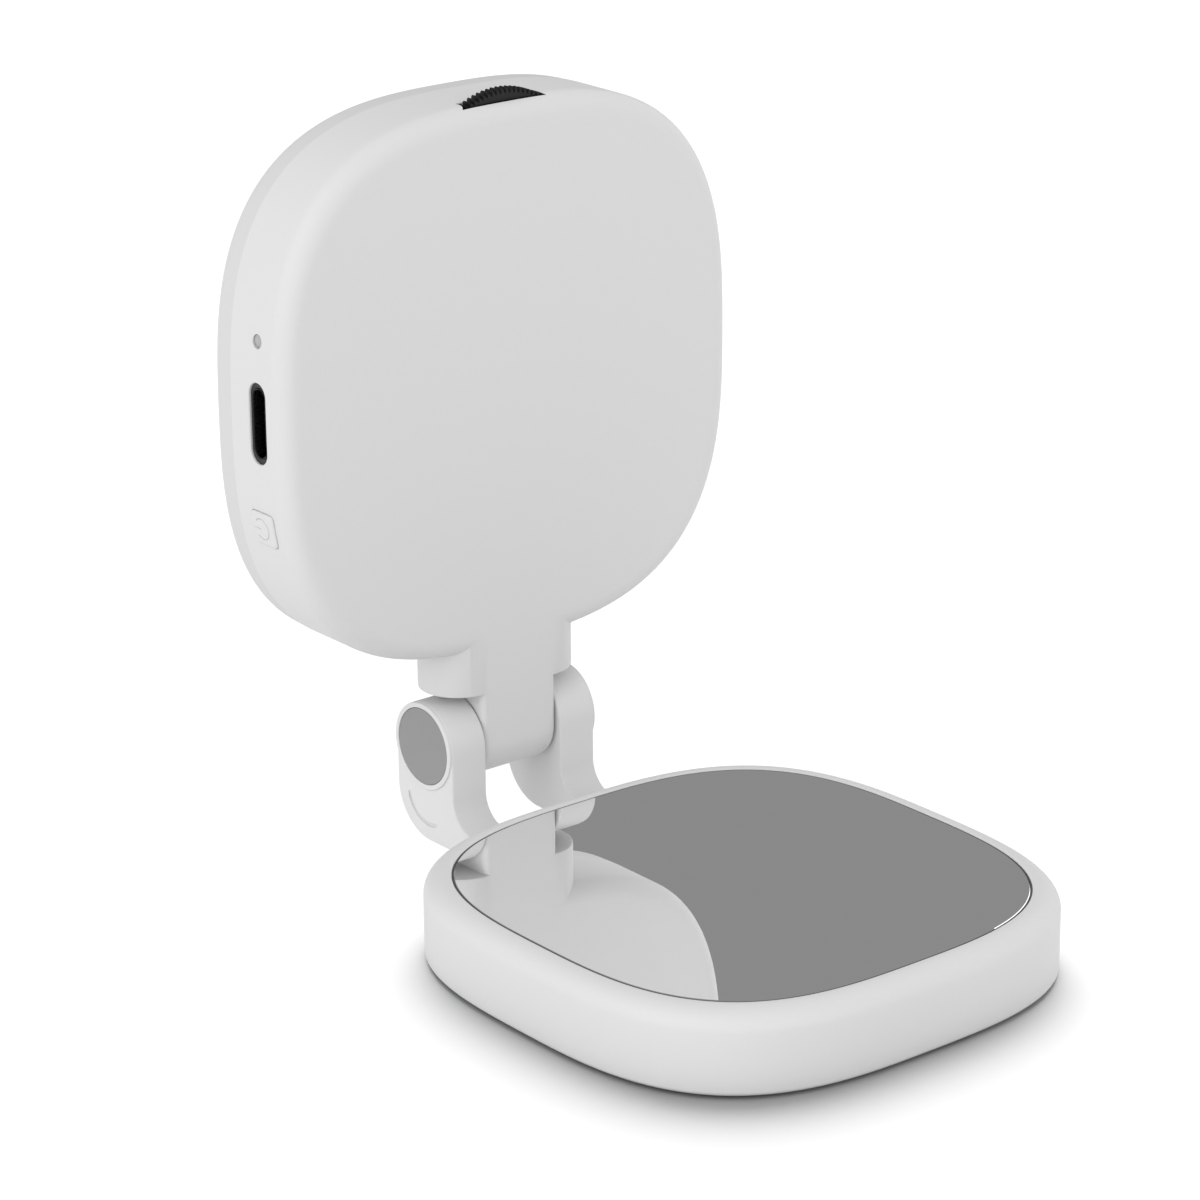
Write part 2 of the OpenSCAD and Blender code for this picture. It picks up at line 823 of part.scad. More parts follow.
module base_plate() {
    color([0.88, 0.88, 0.88]) difference() {
        union() {
            base_slab(base_wall + slot_gap, shell_low_z, shell_low_z + plate_t);
            at_base_posts() translate([0, 0, shell_low_z]) cylinder(r = base_boss_r, h = base_boss_top_z - shell_low_z);
            // tabs that close the arm slots below the feet
            intersection() {
                base_slab(0.1, shell_low_z, foot_low_z - slot_gap);
                both_sides()
                    box([arm_in_x + 0.05, base_l / 2 - 3, 0], [arm_out_x - 0.05, base_l / 2 + 1, foot_low_z]);
            }
        }
        base_slab(grip_inset - 0.1, 0, shell_low_z + grip_seat_d);
        at_base_posts() {
            cylinder(r = screw_head_r + 0.2, h = base_boss_top_z - 0.8);
            cylinder(r = screw_hole_r, h = base_boss_top_z + 1);
        }
    }
}

module base_screws() {
    color(steel) at_base_posts() {
        translate([0, 0, base_boss_top_z - 1.7]) cylinder(r = screw_head_r, h = 0.9);
        translate([0, 0, base_boss_top_z - 0.8 - eps]) cylinder(r = screw_shank_r, h = 4.2);
    }
}

module ballast_plate() {
    color([0.45, 0.46, 0.48]) difference() {
        intersection() {
            base_slab(base_wall + 1.6, ballast_z, ballast_z + ballast_t);
            box([-base_w, -base_l, 0], [base_w, yoke_front_y - 1.5, base_t]);
        }
        at_base_posts() cylinder(r = base_post_r + 0.5, h = base_t);
    }
}

module mirror_glass() {
    color([0.6, 0.62, 0.65]) base_slab(rim_w + trim_w + 2 * trim_gap, mirror_z, mirror_z + mirror_t);
}

module mirror_trim() {
    color([0.4, 0.4, 0.42]) difference() {
        base_slab(rim_w + trim_gap, seat_z, base_t - trim_drop);
        base_slab(rim_w + trim_w + trim_gap, seat_z - 1, base_t + 1);
    }
}

module mirror_pad() {
    color(black) base_slab(rim_w + trim_w + 1.5, seat_z, mirror_z);
}

module grip_pad() {
    color(black) base_slab(grip_inset, 0, shell_low_z + grip_seat_d);
}

head_shell();
head_cover();
light_diffuser();
lens_bezel();
lens_window();
lens_barrel();
lens_elements();
camera_holder();
image_sensor();
led_board();
ring_leds();
main_board();
board_link();
board_screws();
battery();
battery_leads();
usb_shell();
usb_tongue();
status_light();
status_led();
power_button();
switch_stem();
tact_switch();
dimmer_wheel();
dimmer_pot();
hinge_bush();
friction_washers();
hinge_yoke();
hinge_bolt();
hinge_nut();
spring_washer();
hinge_caps();
yoke_screws();
base_shell();
base_plate();
base_screws();
ballast_plate();
mirror_glass();
mirror_trim();
mirror_pad();
grip_pad();
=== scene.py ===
import json
import math

import bmesh
import bpy
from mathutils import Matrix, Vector


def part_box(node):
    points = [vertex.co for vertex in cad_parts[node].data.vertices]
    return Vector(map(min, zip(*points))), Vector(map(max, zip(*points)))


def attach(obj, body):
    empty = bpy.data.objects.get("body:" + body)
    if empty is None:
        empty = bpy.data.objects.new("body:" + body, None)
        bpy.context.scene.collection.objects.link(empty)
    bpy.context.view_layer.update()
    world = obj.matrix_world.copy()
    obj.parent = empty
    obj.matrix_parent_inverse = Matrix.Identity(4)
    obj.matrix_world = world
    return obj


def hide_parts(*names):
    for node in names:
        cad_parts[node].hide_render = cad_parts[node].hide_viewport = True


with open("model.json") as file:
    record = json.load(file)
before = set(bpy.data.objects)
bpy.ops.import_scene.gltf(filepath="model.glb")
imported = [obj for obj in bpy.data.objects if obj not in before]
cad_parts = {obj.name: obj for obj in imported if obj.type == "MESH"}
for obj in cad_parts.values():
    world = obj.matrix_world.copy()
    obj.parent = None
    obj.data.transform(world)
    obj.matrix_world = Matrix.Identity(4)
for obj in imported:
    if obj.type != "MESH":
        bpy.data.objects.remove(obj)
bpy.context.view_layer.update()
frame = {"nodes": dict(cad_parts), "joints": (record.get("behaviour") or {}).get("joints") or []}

# ---- Table, lamps and viewpoint ----
# A pale matt table top in a grey room with broad soft lamps round the device,
# seen through a long lens from in front, to its left and above it.
MM = 0.001
TABLE_HALF = 6.0
VIEW_TARGET = Vector((0, 10 * MM, 40 * MM))
VIEW_AZIMUTH = math.radians(-40.07)
VIEW_ELEVATION = math.radians(20.08)
VIEW_DISTANCE = 507.6 * MM
LENS_LENGTH = 126.99
LENS_SHIFT = (-0.0729, 0.0233)
SENSOR_WIDTH = 36
NEAREST_SEEN = 10 * MM
LAMP_SPREAD = 60
ROOM_GLOW = 0.85
ROOM_REFLECTED = 0.262
GRAIN_LOW, GRAIN_HIGH = 0.3, 0.7
GRAIN_DETAIL = 3

scene = bpy.context.scene
scene.view_settings.view_transform = "Standard"


def surface(name, low, high, grain, relief, smooth, rough, stretch=(1, 1, 1), **sockets):
    """A finish whose colour goes from low to high and its roughness from smooth to rough, over a
    grain of that size and relief in metres. A large stretch makes the grain finer along an axis."""
    finish = bpy.data.materials.new(name)
    finish.use_nodes = True
    nodes, links = finish.node_tree.nodes, finish.node_tree.links
    shader = nodes["Principled BSDF"]
    for socket, value in sockets.items():
        shader.inputs[socket.replace("_", " ")].default_value = value
    place = nodes.new("ShaderNodeTexCoord")
    scaled = nodes.new("ShaderNodeMapping")
    scaled.inputs["Scale"].default_value = [s / grain for s in stretch]
    speckle = nodes.new("ShaderNodeTexNoise")
    speckle.inputs["Scale"].default_value = 1
    speckle.inputs["Detail"].default_value = GRAIN_DETAIL
    tint = nodes.new("ShaderNodeValToRGB")
    tint.color_ramp.elements[0].position = GRAIN_LOW
    tint.color_ramp.elements[0].color = (*low, 1)
    tint.color_ramp.elements[1].position = GRAIN_HIGH
    tint.color_ramp.elements[1].color = (*high, 1)
    gloss = nodes.new("ShaderNodeMapRange")
    gloss.inputs["From Min"].default_value = GRAIN_LOW
    gloss.inputs["From Max"].default_value = GRAIN_HIGH
    gloss.inputs["To Min"].default_value = smooth
    gloss.inputs["To Max"].default_value = rough
    bump = nodes.new("ShaderNodeBump")
    bump.inputs["Strength"].default_value = 1
    bump.inputs["Distance"].default_value = relief
    links.new(place.outputs["Object"], scaled.inputs["Vector"])
    links.new(scaled.outputs["Vector"], speckle.inputs["Vector"])
    links.new(speckle.outputs["Fac"], tint.inputs["Fac"])
    links.new(speckle.outputs["Fac"], gloss.inputs["Value"])
    links.new(speckle.outputs["Fac"], bump.inputs["Height"])
    links.new(tint.outputs["Color"], shader.inputs["Base Color"])
    links.new(gloss.outputs["Result"], shader.inputs["Roughness"])
    links.new(bump.outputs["Normal"], shader.inputs["Normal"])
    return finish


def grey(value):
    """A neutral grey as a colour."""
    return (value, value, value)


table_bm = bmesh.new()
bmesh.ops.create_grid(table_bm, x_segments=1, y_segments=1, size=TABLE_HALF)
table_mesh = bpy.data.meshes.new("table_top")
table_bm.to_mesh(table_mesh)
table_bm.free()
table_mesh.materials.append(surface("pale_table", grey(0.45), grey(0.46), 4 * MM, 0, 0.8, 0.9))
table_top = bpy.data.objects.new("table_top", table_mesh)
scene.collection.objects.link(table_top)

# the room lights the device evenly, and its dim far end is what shiny parts show
room = bpy.data.worlds.new("grey_room")
room.use_nodes = True
room_nodes, room_links = room.node_tree.nodes, room.node_tree.links
ray = room_nodes.new("ShaderNodeLightPath")
room_level = room_nodes.new("ShaderNodeMapRange")
room_level.inputs["To Min"].default_value = ROOM_GLOW
room_level.inputs["To Max"].default_value = ROOM_REFLECTED
room_links.new(ray.outputs["Is Glossy Ray"], room_level.inputs["Value"])
room_links.new(room_level.outputs["Result"], room_nodes["Background"].inputs["Color"])
scene.world = room

all_but_table = bpy.data.collections.new("all_but_table")
all_but_table.objects.link(table_top)
all_but_table.collection_objects[0].light_linking.link_state = "EXCLUDE"
only_table = bpy.data.collections.new("only_table")
only_table.objects.link(table_top)
base_outline = bpy.data.collections.new("base_outline")


def lamp(name, azimuth, elevation, strength, lights=all_but_table, shadows_of=None):
    """A broad soft lamp far away. Azimuth 0 is in front of the device and -90 is on its left."""
    light = bpy.data.lights.new(name, "SUN")
    light.energy = strength * math.pi
    light.angle = math.radians(LAMP_SPREAD)
    a, e = math.radians(azimuth), math.radians(elevation)
    toward = Vector((math.sin(a) * math.cos(e), -math.cos(a) * math.cos(e), math.sin(e)))
    lit = bpy.data.objects.new(name, light)
    lit.rotation_mode = "QUATERNION"
    lit.rotation_quaternion = toward.to_track_quat("Z", "Y")
    lit.light_linking.receiver_collection = lights
    lit.light_linking.blocker_collection = shadows_of
    scene.collection.objects.link(lit)


lamp("left_lamp", -85, 30, 0.43)
lamp("front_lamp", 5, 8, 0.25)
lamp("right_lamp", 95, 10, 0.28)
lamp("table_lamp", 140, 52, 1.9, lights=only_table, shadows_of=base_outline)

lens = bpy.data.cameras.new("long_lens")
lens.sensor_width = SENSOR_WIDTH
lens.lens = LENS_LENGTH
lens.shift_x, lens.shift_y = LENS_SHIFT
lens.clip_start = NEAREST_SEEN
toward_viewer = Vector((
    math.sin(VIEW_AZIMUTH) * math.cos(VIEW_ELEVATION),
    -math.cos(VIEW_AZIMUTH) * math.cos(VIEW_ELEVATION),
    math.sin(VIEW_ELEVATION),
))
viewpoint = bpy.data.objects.new("viewpoint", lens)
viewpoint.location = VIEW_TARGET + toward_viewer * VIEW_DISTANCE
viewpoint.rotation_mode = "QUATERNION"
viewpoint.rotation_quaternion = toward_viewer.to_track_quat("Z", "Y")
scene.collection.objects.link(viewpoint)
scene.camera = viewpoint

# ---- Head: back shell with its neck and tongue ----
# One injection-moulded white ABS tub with a fine matt texture. Its neck and
# the tongue of the hinge are moulded with it, and the controls' holes are cored.
shell_low, shell_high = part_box("head_shell")
cover_low, cover_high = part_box("head_cover")
wheel_low, wheel_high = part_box("dimmer_wheel")
port_low, port_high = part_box("usb_shell")
pipe_low, pipe_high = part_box("status_light")
tilt_joint = next(j for j in frame["joints"] if j["name"] == "head_tilt")
HINGE = Vector(tilt_joint["pos_m"])
HEAD_HALF_W = cover_high.x
HEAD_HALF_H = (cover_high.z - cover_low.z) / 2
HEAD_Z = (cover_high.z + cover_low.z) / 2
HEAD_SQUARE = 2.88
HEAD_CORNERS = 192
BACK_Y = shell_low.y
SEAM_Y = shell_high.y
FRONT_Y = cover_high.y
SHELL_WALL = 1.5 * MM
HEAD_EDGE_R = 2.5 * MM
WALL_STEPS = 8
FACE_MARGIN = 1 * MM
TONGUE_R = HINGE.y - BACK_Y
TONGUE_HALF_W = 5.9 * MM
TONGUE_EDGE_R = 1 * MM
NECK_HALF_W = 11 * MM
NECK_LOW_Z = HINGE.z + 7 * MM
NECK_TOP_Z = HEAD_Z - HEAD_HALF_H + 3.3 * MM
NECK_EDGE_R = 0.2 * MM
NECK_EDGE_MID = 0.06 * MM
CONTROL_Y = HINGE.y
OUTSIDE_X = -HEAD_HALF_W - 1 * MM
INSIDE_X = -HEAD_HALF_W + 4 * MM
CREASE = math.radians(32)
WELD = 1e-6

white_plastic = surface(
    "moulded_white", grey(0.575), grey(0.585), 0.22 * MM, 1e-6, 0.52, 0.6,
    Specular_IOR_Level=0.25,
)


def rounded_square(half_a, half_b, squareness, count):
    """Points round a rounded square. A squareness of 2 is an ellipse."""
    points = []
    for k in range(count):
        turn = 2 * math.pi * k / count
        across = abs(math.cos(turn) / half_a) ** squareness
        up = abs(math.sin(turn) / half_b) ** squareness
        reach = (across + up) ** (-1 / squareness)
        points.append((reach * math.cos(turn), reach * math.sin(turn)))
    return points


def slot_line(half_length, radius, count):
    """Points round a slot with round ends, its length along the first axis."""
    points = []
    for k in range(count):
        turn = 2 * math.pi * (k + 0.5) / count
        shift = math.copysign(half_length - radius, math.cos(turn))
        points.append((shift + radius * math.cos(turn), radius * math.sin(turn)))
    return points


def arc(centre, radius, start, end, steps):
    """Points along an arc from one angle to another, in degrees."""
    angles = [math.radians(start + (end - start) * k / steps) for k in range(steps + 1)]
    return [(centre[0] + radius * math.cos(a), centre[1] + radius * math.sin(a)) for a in angles]


def rounding(radius, steps):
    """(inset, distance from the face) from a wall to a face round an edge."""
    turns = [math.pi / 2 * k / steps for k in range(steps + 1)]
    return [(radius * (1 - math.cos(a)), radius * (1 - math.sin(a))) for a in turns]


def drawn_to(corners, outline):
    """Moves a ring of corners to an outline with as many points."""
    for corner, point in zip(corners, outline):
        corner.co = point
    return corners


def ring_edges(bm, corners):
    """The edges of a ring of corners."""
    return [bm.edges.get((a, b)) for a, b in zip(corners, corners[1:] + corners[:1])]


def skinned(outlines, ends=True):
    """A solid extruded from one outline to the next. Without ends, it closes like a tyre."""
    bm = bmesh.new()
    corners = bmesh.ops.create_circle(bm, segments=len(outlines[0]), radius=1)["verts"]
    corners = drawn_to(corners, outlines[0])
    if ends:
        bmesh.ops.contextual_create(bm, geom=ring_edges(bm, corners))
    for outline in outlines[1:] + ([] if ends else outlines[:1]):
        grown = bmesh.ops.extrude_edge_only(bm, edges=ring_edges(bm, corners))["geom"]
        fresh = {piece for piece in grown if isinstance(piece, bmesh.types.BMVert)}
        corners = drawn_to(
            [
                next(e.other_vert(c) for e in c.link_edges if e.other_vert(c) in fresh)
                for c in corners
            ],
            outline,
        )
    if ends:
        bmesh.ops.contextual_create(bm, geom=ring_edges(bm, corners))
    else:
        bmesh.ops.remove_doubles(bm, verts=bm.verts, dist=WELD)
    bmesh.ops.recalc_face_normals(bm, faces=bm.faces)
    return bm


def along_x(points, x):
    """Points given as (y, z), in a plane across X."""
    return [(x, y, z) for y, z in points]


def along_y(points, y):
    """Points given as (x, z), in a plane across Y."""
    return [(x, y, z) for x, z in points]


def along_z(points, z):
    """Points given as (x, y), in a plane across Z."""
    return [(x, y, z) for x, y in points]


def circle(radius, count, centre=(0, 0)):
    """That many points round a circle."""
    return arc(centre, radius, 0, 360 * (count - 1) / count, count - 1)


def reshaped(bm, steps):
    """A shape after solids are joined to it or cut from it in turn, as the steps say."""
    for action, solid in steps:
        blocks = []
        for part in (bm, solid):
            mesh = bpy.data.meshes.new("block")
            part.to_mesh(mesh)
            part.free()
            blocks.append(bpy.data.objects.new("block", mesh))
            scene.collection.objects.link(blocks[-1])
        change = blocks[0].modifiers.new("change", "BOOLEAN")
        change.operation = action
        change.solver = "EXACT"
        change.object = blocks[1]
        bpy.context.view_layer.update()
        bm = bmesh.new()
        bm.from_object(blocks[0], bpy.context.evaluated_depsgraph_get())
        for block in blocks:
            bpy.data.objects.remove(block)
        bmesh.ops.remove_doubles(bm, verts=bm.verts, dist=WELD)
        bmesh.ops.dissolve_degenerate(bm, edges=bm.edges, dist=WELD)
    return bm


def settle(name, bm, body, finish, slot, *nodes):
    """Makes a shape a finished piece, smooth apart from its creases, in place of its nodes."""
    bmesh.ops.remove_doubles(bm, verts=bm.verts, dist=WELD)
    bmesh.ops.recalc_face_normals(bm, faces=bm.faces)
    mesh = bpy.data.meshes.new(name)
    bm.to_mesh(mesh)
    bm.free()
    mesh.polygons.foreach_set("use_smooth", [True] * len(mesh.polygons))
    mesh.set_sharp_from_angle(angle=CREASE)
    mesh.materials.append(finish)
    piece = bpy.data.objects.new(name, mesh)
    scene.collection.objects.link(piece)
    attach(piece, body)
    if nodes:
        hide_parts(*nodes)
    return piece


def head_line(inset, y):
    """The head's outline at one depth, drawn in from its widest by the inset."""
    plan = rounded_square(HEAD_HALF_W - inset, HEAD_HALF_H - inset, HEAD_SQUARE, HEAD_CORNERS)
    return along_y([(x, HEAD_Z + z) for x, z in plan], y)


def bevelled(bm, x_faces, radius, segments):
    """A solid with the edges of its two end faces, at x_faces, rounded over."""
    rim = [
        e for e in bm.edges
        if any(all(abs(v.co.x - x) < WELD for v in e.verts) for x in x_faces)
    ]
    bmesh.ops.bevel(
        bm, geom=rim, offset=radius, segments=segments, profile=0.5, affect="EDGES", material=-1
    )
    return bm


inner_levels = [BACK_Y + SHELL_WALL, (BACK_Y + SEAM_Y) / 2, SEAM_Y]
wall_levels = [
    SEAM_Y + (BACK_Y + HEAD_EDGE_R - SEAM_Y) * k / WALL_STEPS for k in range(WALL_STEPS)
]
tub = skinned(
    [head_line(SHELL_WALL, y) for y in inner_levels]
    + [head_line(0, y) for y in wall_levels]
    + [head_line(inset, BACK_Y + drop) for inset, drop in rounding(HEAD_EDGE_R, 10)]
    + [head_line(HEAD_EDGE_R + FACE_MARGIN, BACK_Y)]
)

neck_rings = [
    (NECK_EDGE_R, 0), (NECK_EDGE_MID, NECK_EDGE_MID), (0, NECK_EDGE_R),
    (0, NECK_TOP_Z - NECK_LOW_Z),
]
neck = skinned([
    along_z(
        [(x, HINGE.y + y) for x, y in slot_line(NECK_HALF_W - inset, TONGUE_R - inset, 96)],
        NECK_LOW_Z + rise,
    )
    for inset, rise in neck_rings
])

tongue_side = arc((HINGE.y, HINGE.z), TONGUE_R, 180, 360, 40)
tongue_side += [(HINGE.y + TONGUE_R, NECK_TOP_Z), (HINGE.y - TONGUE_R, NECK_TOP_Z)]
tongue = bevelled(
    skinned([along_x(tongue_side, x) for x in (-TONGUE_HALF_W, TONGUE_HALF_W)]),
    (-TONGUE_HALF_W, TONGUE_HALF_W), TONGUE_EDGE_R, 6,
)

WHEEL_R = wheel_high.x
WHEEL_Z = (wheel_low.z + wheel_high.z) / 2
WHEEL_SLOT_R = WHEEL_R + 0.15 * MM
WHEEL_T = 1.7 * MM
WHEEL_SIDE_GAP = 0.25 * MM
wheel_slot = skinned([
    along_y(circle(WHEEL_SLOT_R, 160, (0, WHEEL_Z)), y)
    for y in (wheel_low.y - WHEEL_SIDE_GAP, wheel_low.y + WHEEL_T + WHEEL_SIDE_GAP)
])

PORT_HALF_L = (port_high.z - port_low.z) / 2
PORT_HALF_T = (port_high.y - port_low.y) / 2


def port_line(margin, x, end_margin=None):
    """The inlet's outline with a margin at its sides and its ends, in a plane across X."""
    half_l = PORT_HALF_L + (margin if end_margin is None else end_margin)
    plan = slot_line(half_l, PORT_HALF_T + margin, 64)
    return along_x([(CONTROL_Y + t, HEAD_Z + l) for l, t in plan], x)


PORT_GAP = 0.1 * MM
PORT_END_GAP = 0.65 * MM
PORT_LIP_R = 0.12 * MM
PORT_STEP_D = 0.8 * MM
port_step_x = port_low.x + PORT_STEP_D
port_hole = skinned([
    port_line(PORT_GAP + PORT_LIP_R, OUTSIDE_X, PORT_END_GAP + PORT_LIP_R),
    port_line(PORT_GAP + PORT_LIP_R, -HEAD_HALF_W, PORT_END_GAP + PORT_LIP_R),
    port_line(PORT_GAP, -HEAD_HALF_W + PORT_LIP_R, PORT_END_GAP),
    port_line(PORT_GAP, port_step_x, PORT_END_GAP),
    port_line(PORT_GAP, port_step_x), port_line(PORT_GAP, INSIDE_X),
])

PIPE_Z = (pipe_low.z + pipe_high.z) / 2
PIPE_R = 0.85 * MM
PIPE_GAP = 0.05 * MM
PIPE_CORNERS = 40
pipe_hole = skinned([
    along_x(circle(PIPE_R + PIPE_GAP, PIPE_CORNERS, (CONTROL_Y, PIPE_Z)), x)
    for x in (OUTSIDE_X, INSIDE_X)
])

KEY_HALF_W = 2.3 * MM
KEY_HALF_H = 2.15 * MM
KEY_CORNER_R = 0.7 * MM
KEY_Y = CONTROL_Y + 0.4 * MM
KEY_Z = HEAD_Z - 13.5 * MM
KEY_GAP = 0.07 * MM
KEY_CORNER_STEPS = 8


def key_plan(margin):
    """The power key's outline with round corners, as (y, z), with a margin all round."""
    radius = KEY_CORNER_R + margin
    points = []
    for k, (side_y, side_z) in enumerate(((1, 1), (-1, 1), (-1, -1), (1, -1))):
        centre = (
            KEY_Y + side_y * (KEY_HALF_W - KEY_CORNER_R),
            KEY_Z + side_z * (KEY_HALF_H - KEY_CORNER_R),
        )
        points += arc(centre, radius, 90 * k, 90 * (k + 1), KEY_CORNER_STEPS)
    return points


key_hole = skinned([along_x(key_plan(KEY_GAP), x) for x in (OUTSIDE_X, INSIDE_X)])

BUSH_R = 2.4 * MM
WASHER_SEAT_R = 4.2 * MM
WASHER_SEAT_D = 0.5 * MM
PAST_TONGUE_X = 2 * TONGUE_HALF_W


def hinge_bar(radius, x0, x1):
    """A round bar on the hinge axis."""
    return skinned([along_x(circle(radius, 64, (HINGE.y, HINGE.z)), x) for x in (x0, x1)])


settle(
    "back_shell",
    reshaped(tub, [
        ("UNION", neck),
        ("UNION", tongue),
        ("DIFFERENCE", wheel_slot),
        ("DIFFERENCE", port_hole),
        ("DIFFERENCE", pipe_hole),
        ("DIFFERENCE", key_hole),
        ("DIFFERENCE", hinge_bar(BUSH_R, -PAST_TONGUE_X, PAST_TONGUE_X)),
        ("DIFFERENCE", hinge_bar(WASHER_SEAT_R, TONGUE_HALF_W - WASHER_SEAT_D, PAST_TONGUE_X)),
        ("DIFFERENCE", hinge_bar(WASHER_SEAT_R, -PAST_TONGUE_X, WASHER_SEAT_D - TONGUE_HALF_W)),
    ]),
    "head", white_plastic, "white_plastic", "head_shell",
)

# ---- Head: front cover ----
# A moulded white frame that snaps onto the back shell with a lip inside the
# joint. Its side tapers a little towards the light window that it holds.
WINDOW_HALF = 29.5 * MM
WINDOW_FLANGE_HALF = 30.6 * MM
COVER_WALL = 1.3 * MM
COVER_LIP = SHELL_WALL + 0.15 * MM
COVER_LIP_D = 1.2 * MM
COVER_DEPTH = FRONT_Y - SEAM_Y
COVER_TAPER = 0.12 * MM
COVER_EDGE_R = 0.4 * MM
COVER_LIP_T = 1.2 * MM
COVER_STEPS = 3
WINDOW_EDGE = 0.15 * MM
window_inset = HEAD_HALF_W - WINDOW_HALF
flange_inset = HEAD_HALF_W - WINDOW_FLANGE_HALF
# A little darker than the back shell's white: painted shade for the shade on the band of the cover's
# side.
cover_painted_shade_white = surface(
    "cover_white_painted_shade", grey(0.535), grey(0.545), 0.22 * MM, 1e-6, 0.5, 0.58, Specular_IOR_Level=0.25
)

cover_rings = [(COVER_LIP, SEAM_Y - COVER_LIP_D), (COVER_LIP, SEAM_Y), (0, SEAM_Y)]
cover_rings += [
    (COVER_TAPER * k / COVER_STEPS, SEAM_Y + (COVER_DEPTH - COVER_EDGE_R) * k / COVER_STEPS)
    for k in range(1, COVER_STEPS)
]
cover_rings += [
    (COVER_TAPER + inset, FRONT_Y - drop) for inset, drop in rounding(COVER_EDGE_R, 5)
]
cover_rings += [
    (COVER_EDGE_R + FACE_MARGIN, FRONT_Y), (window_inset - WINDOW_EDGE, FRONT_Y),
    (window_inset, FRONT_Y - WINDOW_EDGE), (window_inset, FRONT_Y - COVER_WALL),
    (flange_inset, FRONT_Y - COVER_WALL), (flange_inset, SEAM_Y),
    (COVER_LIP + COVER_LIP_T, SEAM_Y), (COVER_LIP + COVER_LIP_T, SEAM_Y - COVER_LIP_D),
]
settle(
    "front_cover", skinned([head_line(inset, y) for inset, y in cover_rings], ends=False),
    "head", cover_painted_shade_white, "white_plastic", "head_cover",
)

# ---- Head: light diffuser ----
# A frosted acrylic plate that spreads the light of the ring of lamps. Its
# flange is held behind the cover's lip, and the lens comes through its middle.
BEZEL_R = 6.5 * MM
DIFFUSER_FACE_Y = FRONT_Y - 0.2 * MM
DIFFUSER_LOW_Y = FRONT_Y - 2.6 * MM
DIFFUSER_HOLE_R = BEZEL_R + 0.05 * MM
DIFFUSER_GAP = 0.1 * MM
DIFFUSER_EDGE = 0.1 * MM
FRONT_STEPS = 6
REAR_STEPS = 3
diffuser_step_y = FRONT_Y - COVER_WALL
diffuser_inset = window_inset + DIFFUSER_GAP

frosted = surface(
    "frosted_acrylic", grey(0.62), grey(0.66), 0.6 * MM, 9e-6, 0.38, 0.55,
    Subsurface_Weight=0.3, Subsurface_Radius=(0.0015, 0.0015, 0.0014),
)


def toward_hole(share, y):
    """An outline part of the way from the diffuser's edge to its round hole."""
    edge = head_line(diffuser_inset, y)
    hole = along_y(circle(DIFFUSER_HOLE_R, HEAD_CORNERS, (0, HEAD_Z)), y)
    return [Vector(a).lerp(Vector(b), share) for a, b in zip(edge, hole)]


settle(
    "diffuser_plate",
    skinned(
        [
            head_line(flange_inset + DIFFUSER_GAP, DIFFUSER_LOW_Y),
            head_line(flange_inset + DIFFUSER_GAP, diffuser_step_y),
            head_line(diffuser_inset, diffuser_step_y),
            head_line(diffuser_inset, DIFFUSER_FACE_Y - DIFFUSER_EDGE),
            head_line(diffuser_inset + DIFFUSER_EDGE, DIFFUSER_FACE_Y),
        ]
        + [toward_hole(k / FRONT_STEPS, DIFFUSER_FACE_Y) for k in range(1, FRONT_STEPS + 1)]
        + [toward_hole(k / REAR_STEPS, DIFFUSER_LOW_Y) for k in range(REAR_STEPS, 0, -1)],
        ends=False,
    ),
    "head", frosted, "frosted_plastic", "light_diffuser",
)

# ---- Head: lens bezel, window and barrel ----
# A moulded matt black bezel with fine steps against stray light holds a coated
# glass window over the black, ribbed barrel, which holds the glass elements.
BEZEL_BORE_R = 3.5 * MM
BEZEL_SEAT_R = 4.6 * MM
BEZEL_FLANGE = 0.9 * MM
BEZEL_EDGE = 0.2 * MM
BEZEL_EDGE_MID = 0.06 * MM
BEZEL_SEAT_D = 1.3 * MM
SEAT_EDGE = 0.15 * MM
BAFFLES = 3
BAFFLE_START = 1.5 * MM
BAFFLE_PITCH = 0.4 * MM
BAFFLE_RISE = 0.1 * MM
RIB_DEPTH = 0.12 * MM
GLASS_EDGE = 0.15 * MM
BARREL_RIBS = 3
BARREL_HEAD_T = 1.8 * MM
BARREL_FLANGE = 0.4 * MM
BARREL_EDGE = 0.12 * MM
BARREL_MOUTH = 0.3 * MM
bezel_low_y = SEAM_Y - 0.35 * MM
bezel_top_y = FRONT_Y - 0.1 * MM
barrel_low, barrel_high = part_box("lens_barrel")
window_low, window_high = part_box("lens_window")

matt_black = surface("matt_black", grey(0.012), grey(0.018), 0.12 * MM, 1.5e-6, 0.45, 0.6)
anodised_black = surface(
    "anodised_black", grey(0.01), grey(0.016), 0.08 * MM, 4e-7, 0.3, 0.38, Metallic=0.6
)
coated_glass = surface(
    "coated_glass", (0.9, 0.95, 1.0), (0.92, 0.97, 1.0), 3 * MM, 0, 0.01, 0.03,
    Transmission_Weight=1.0, IOR=1.5, Coat_Weight=0.4, Coat_Tint=(0.6, 0.5, 1.0, 1),
)


def turned(profile, ends=True):
    """A shape turned about the lens axis from (radius, y) pairs."""
    return skinned([along_y(circle(r, 96, (0, HEAD_Z)), y) for r, y in profile], ends)


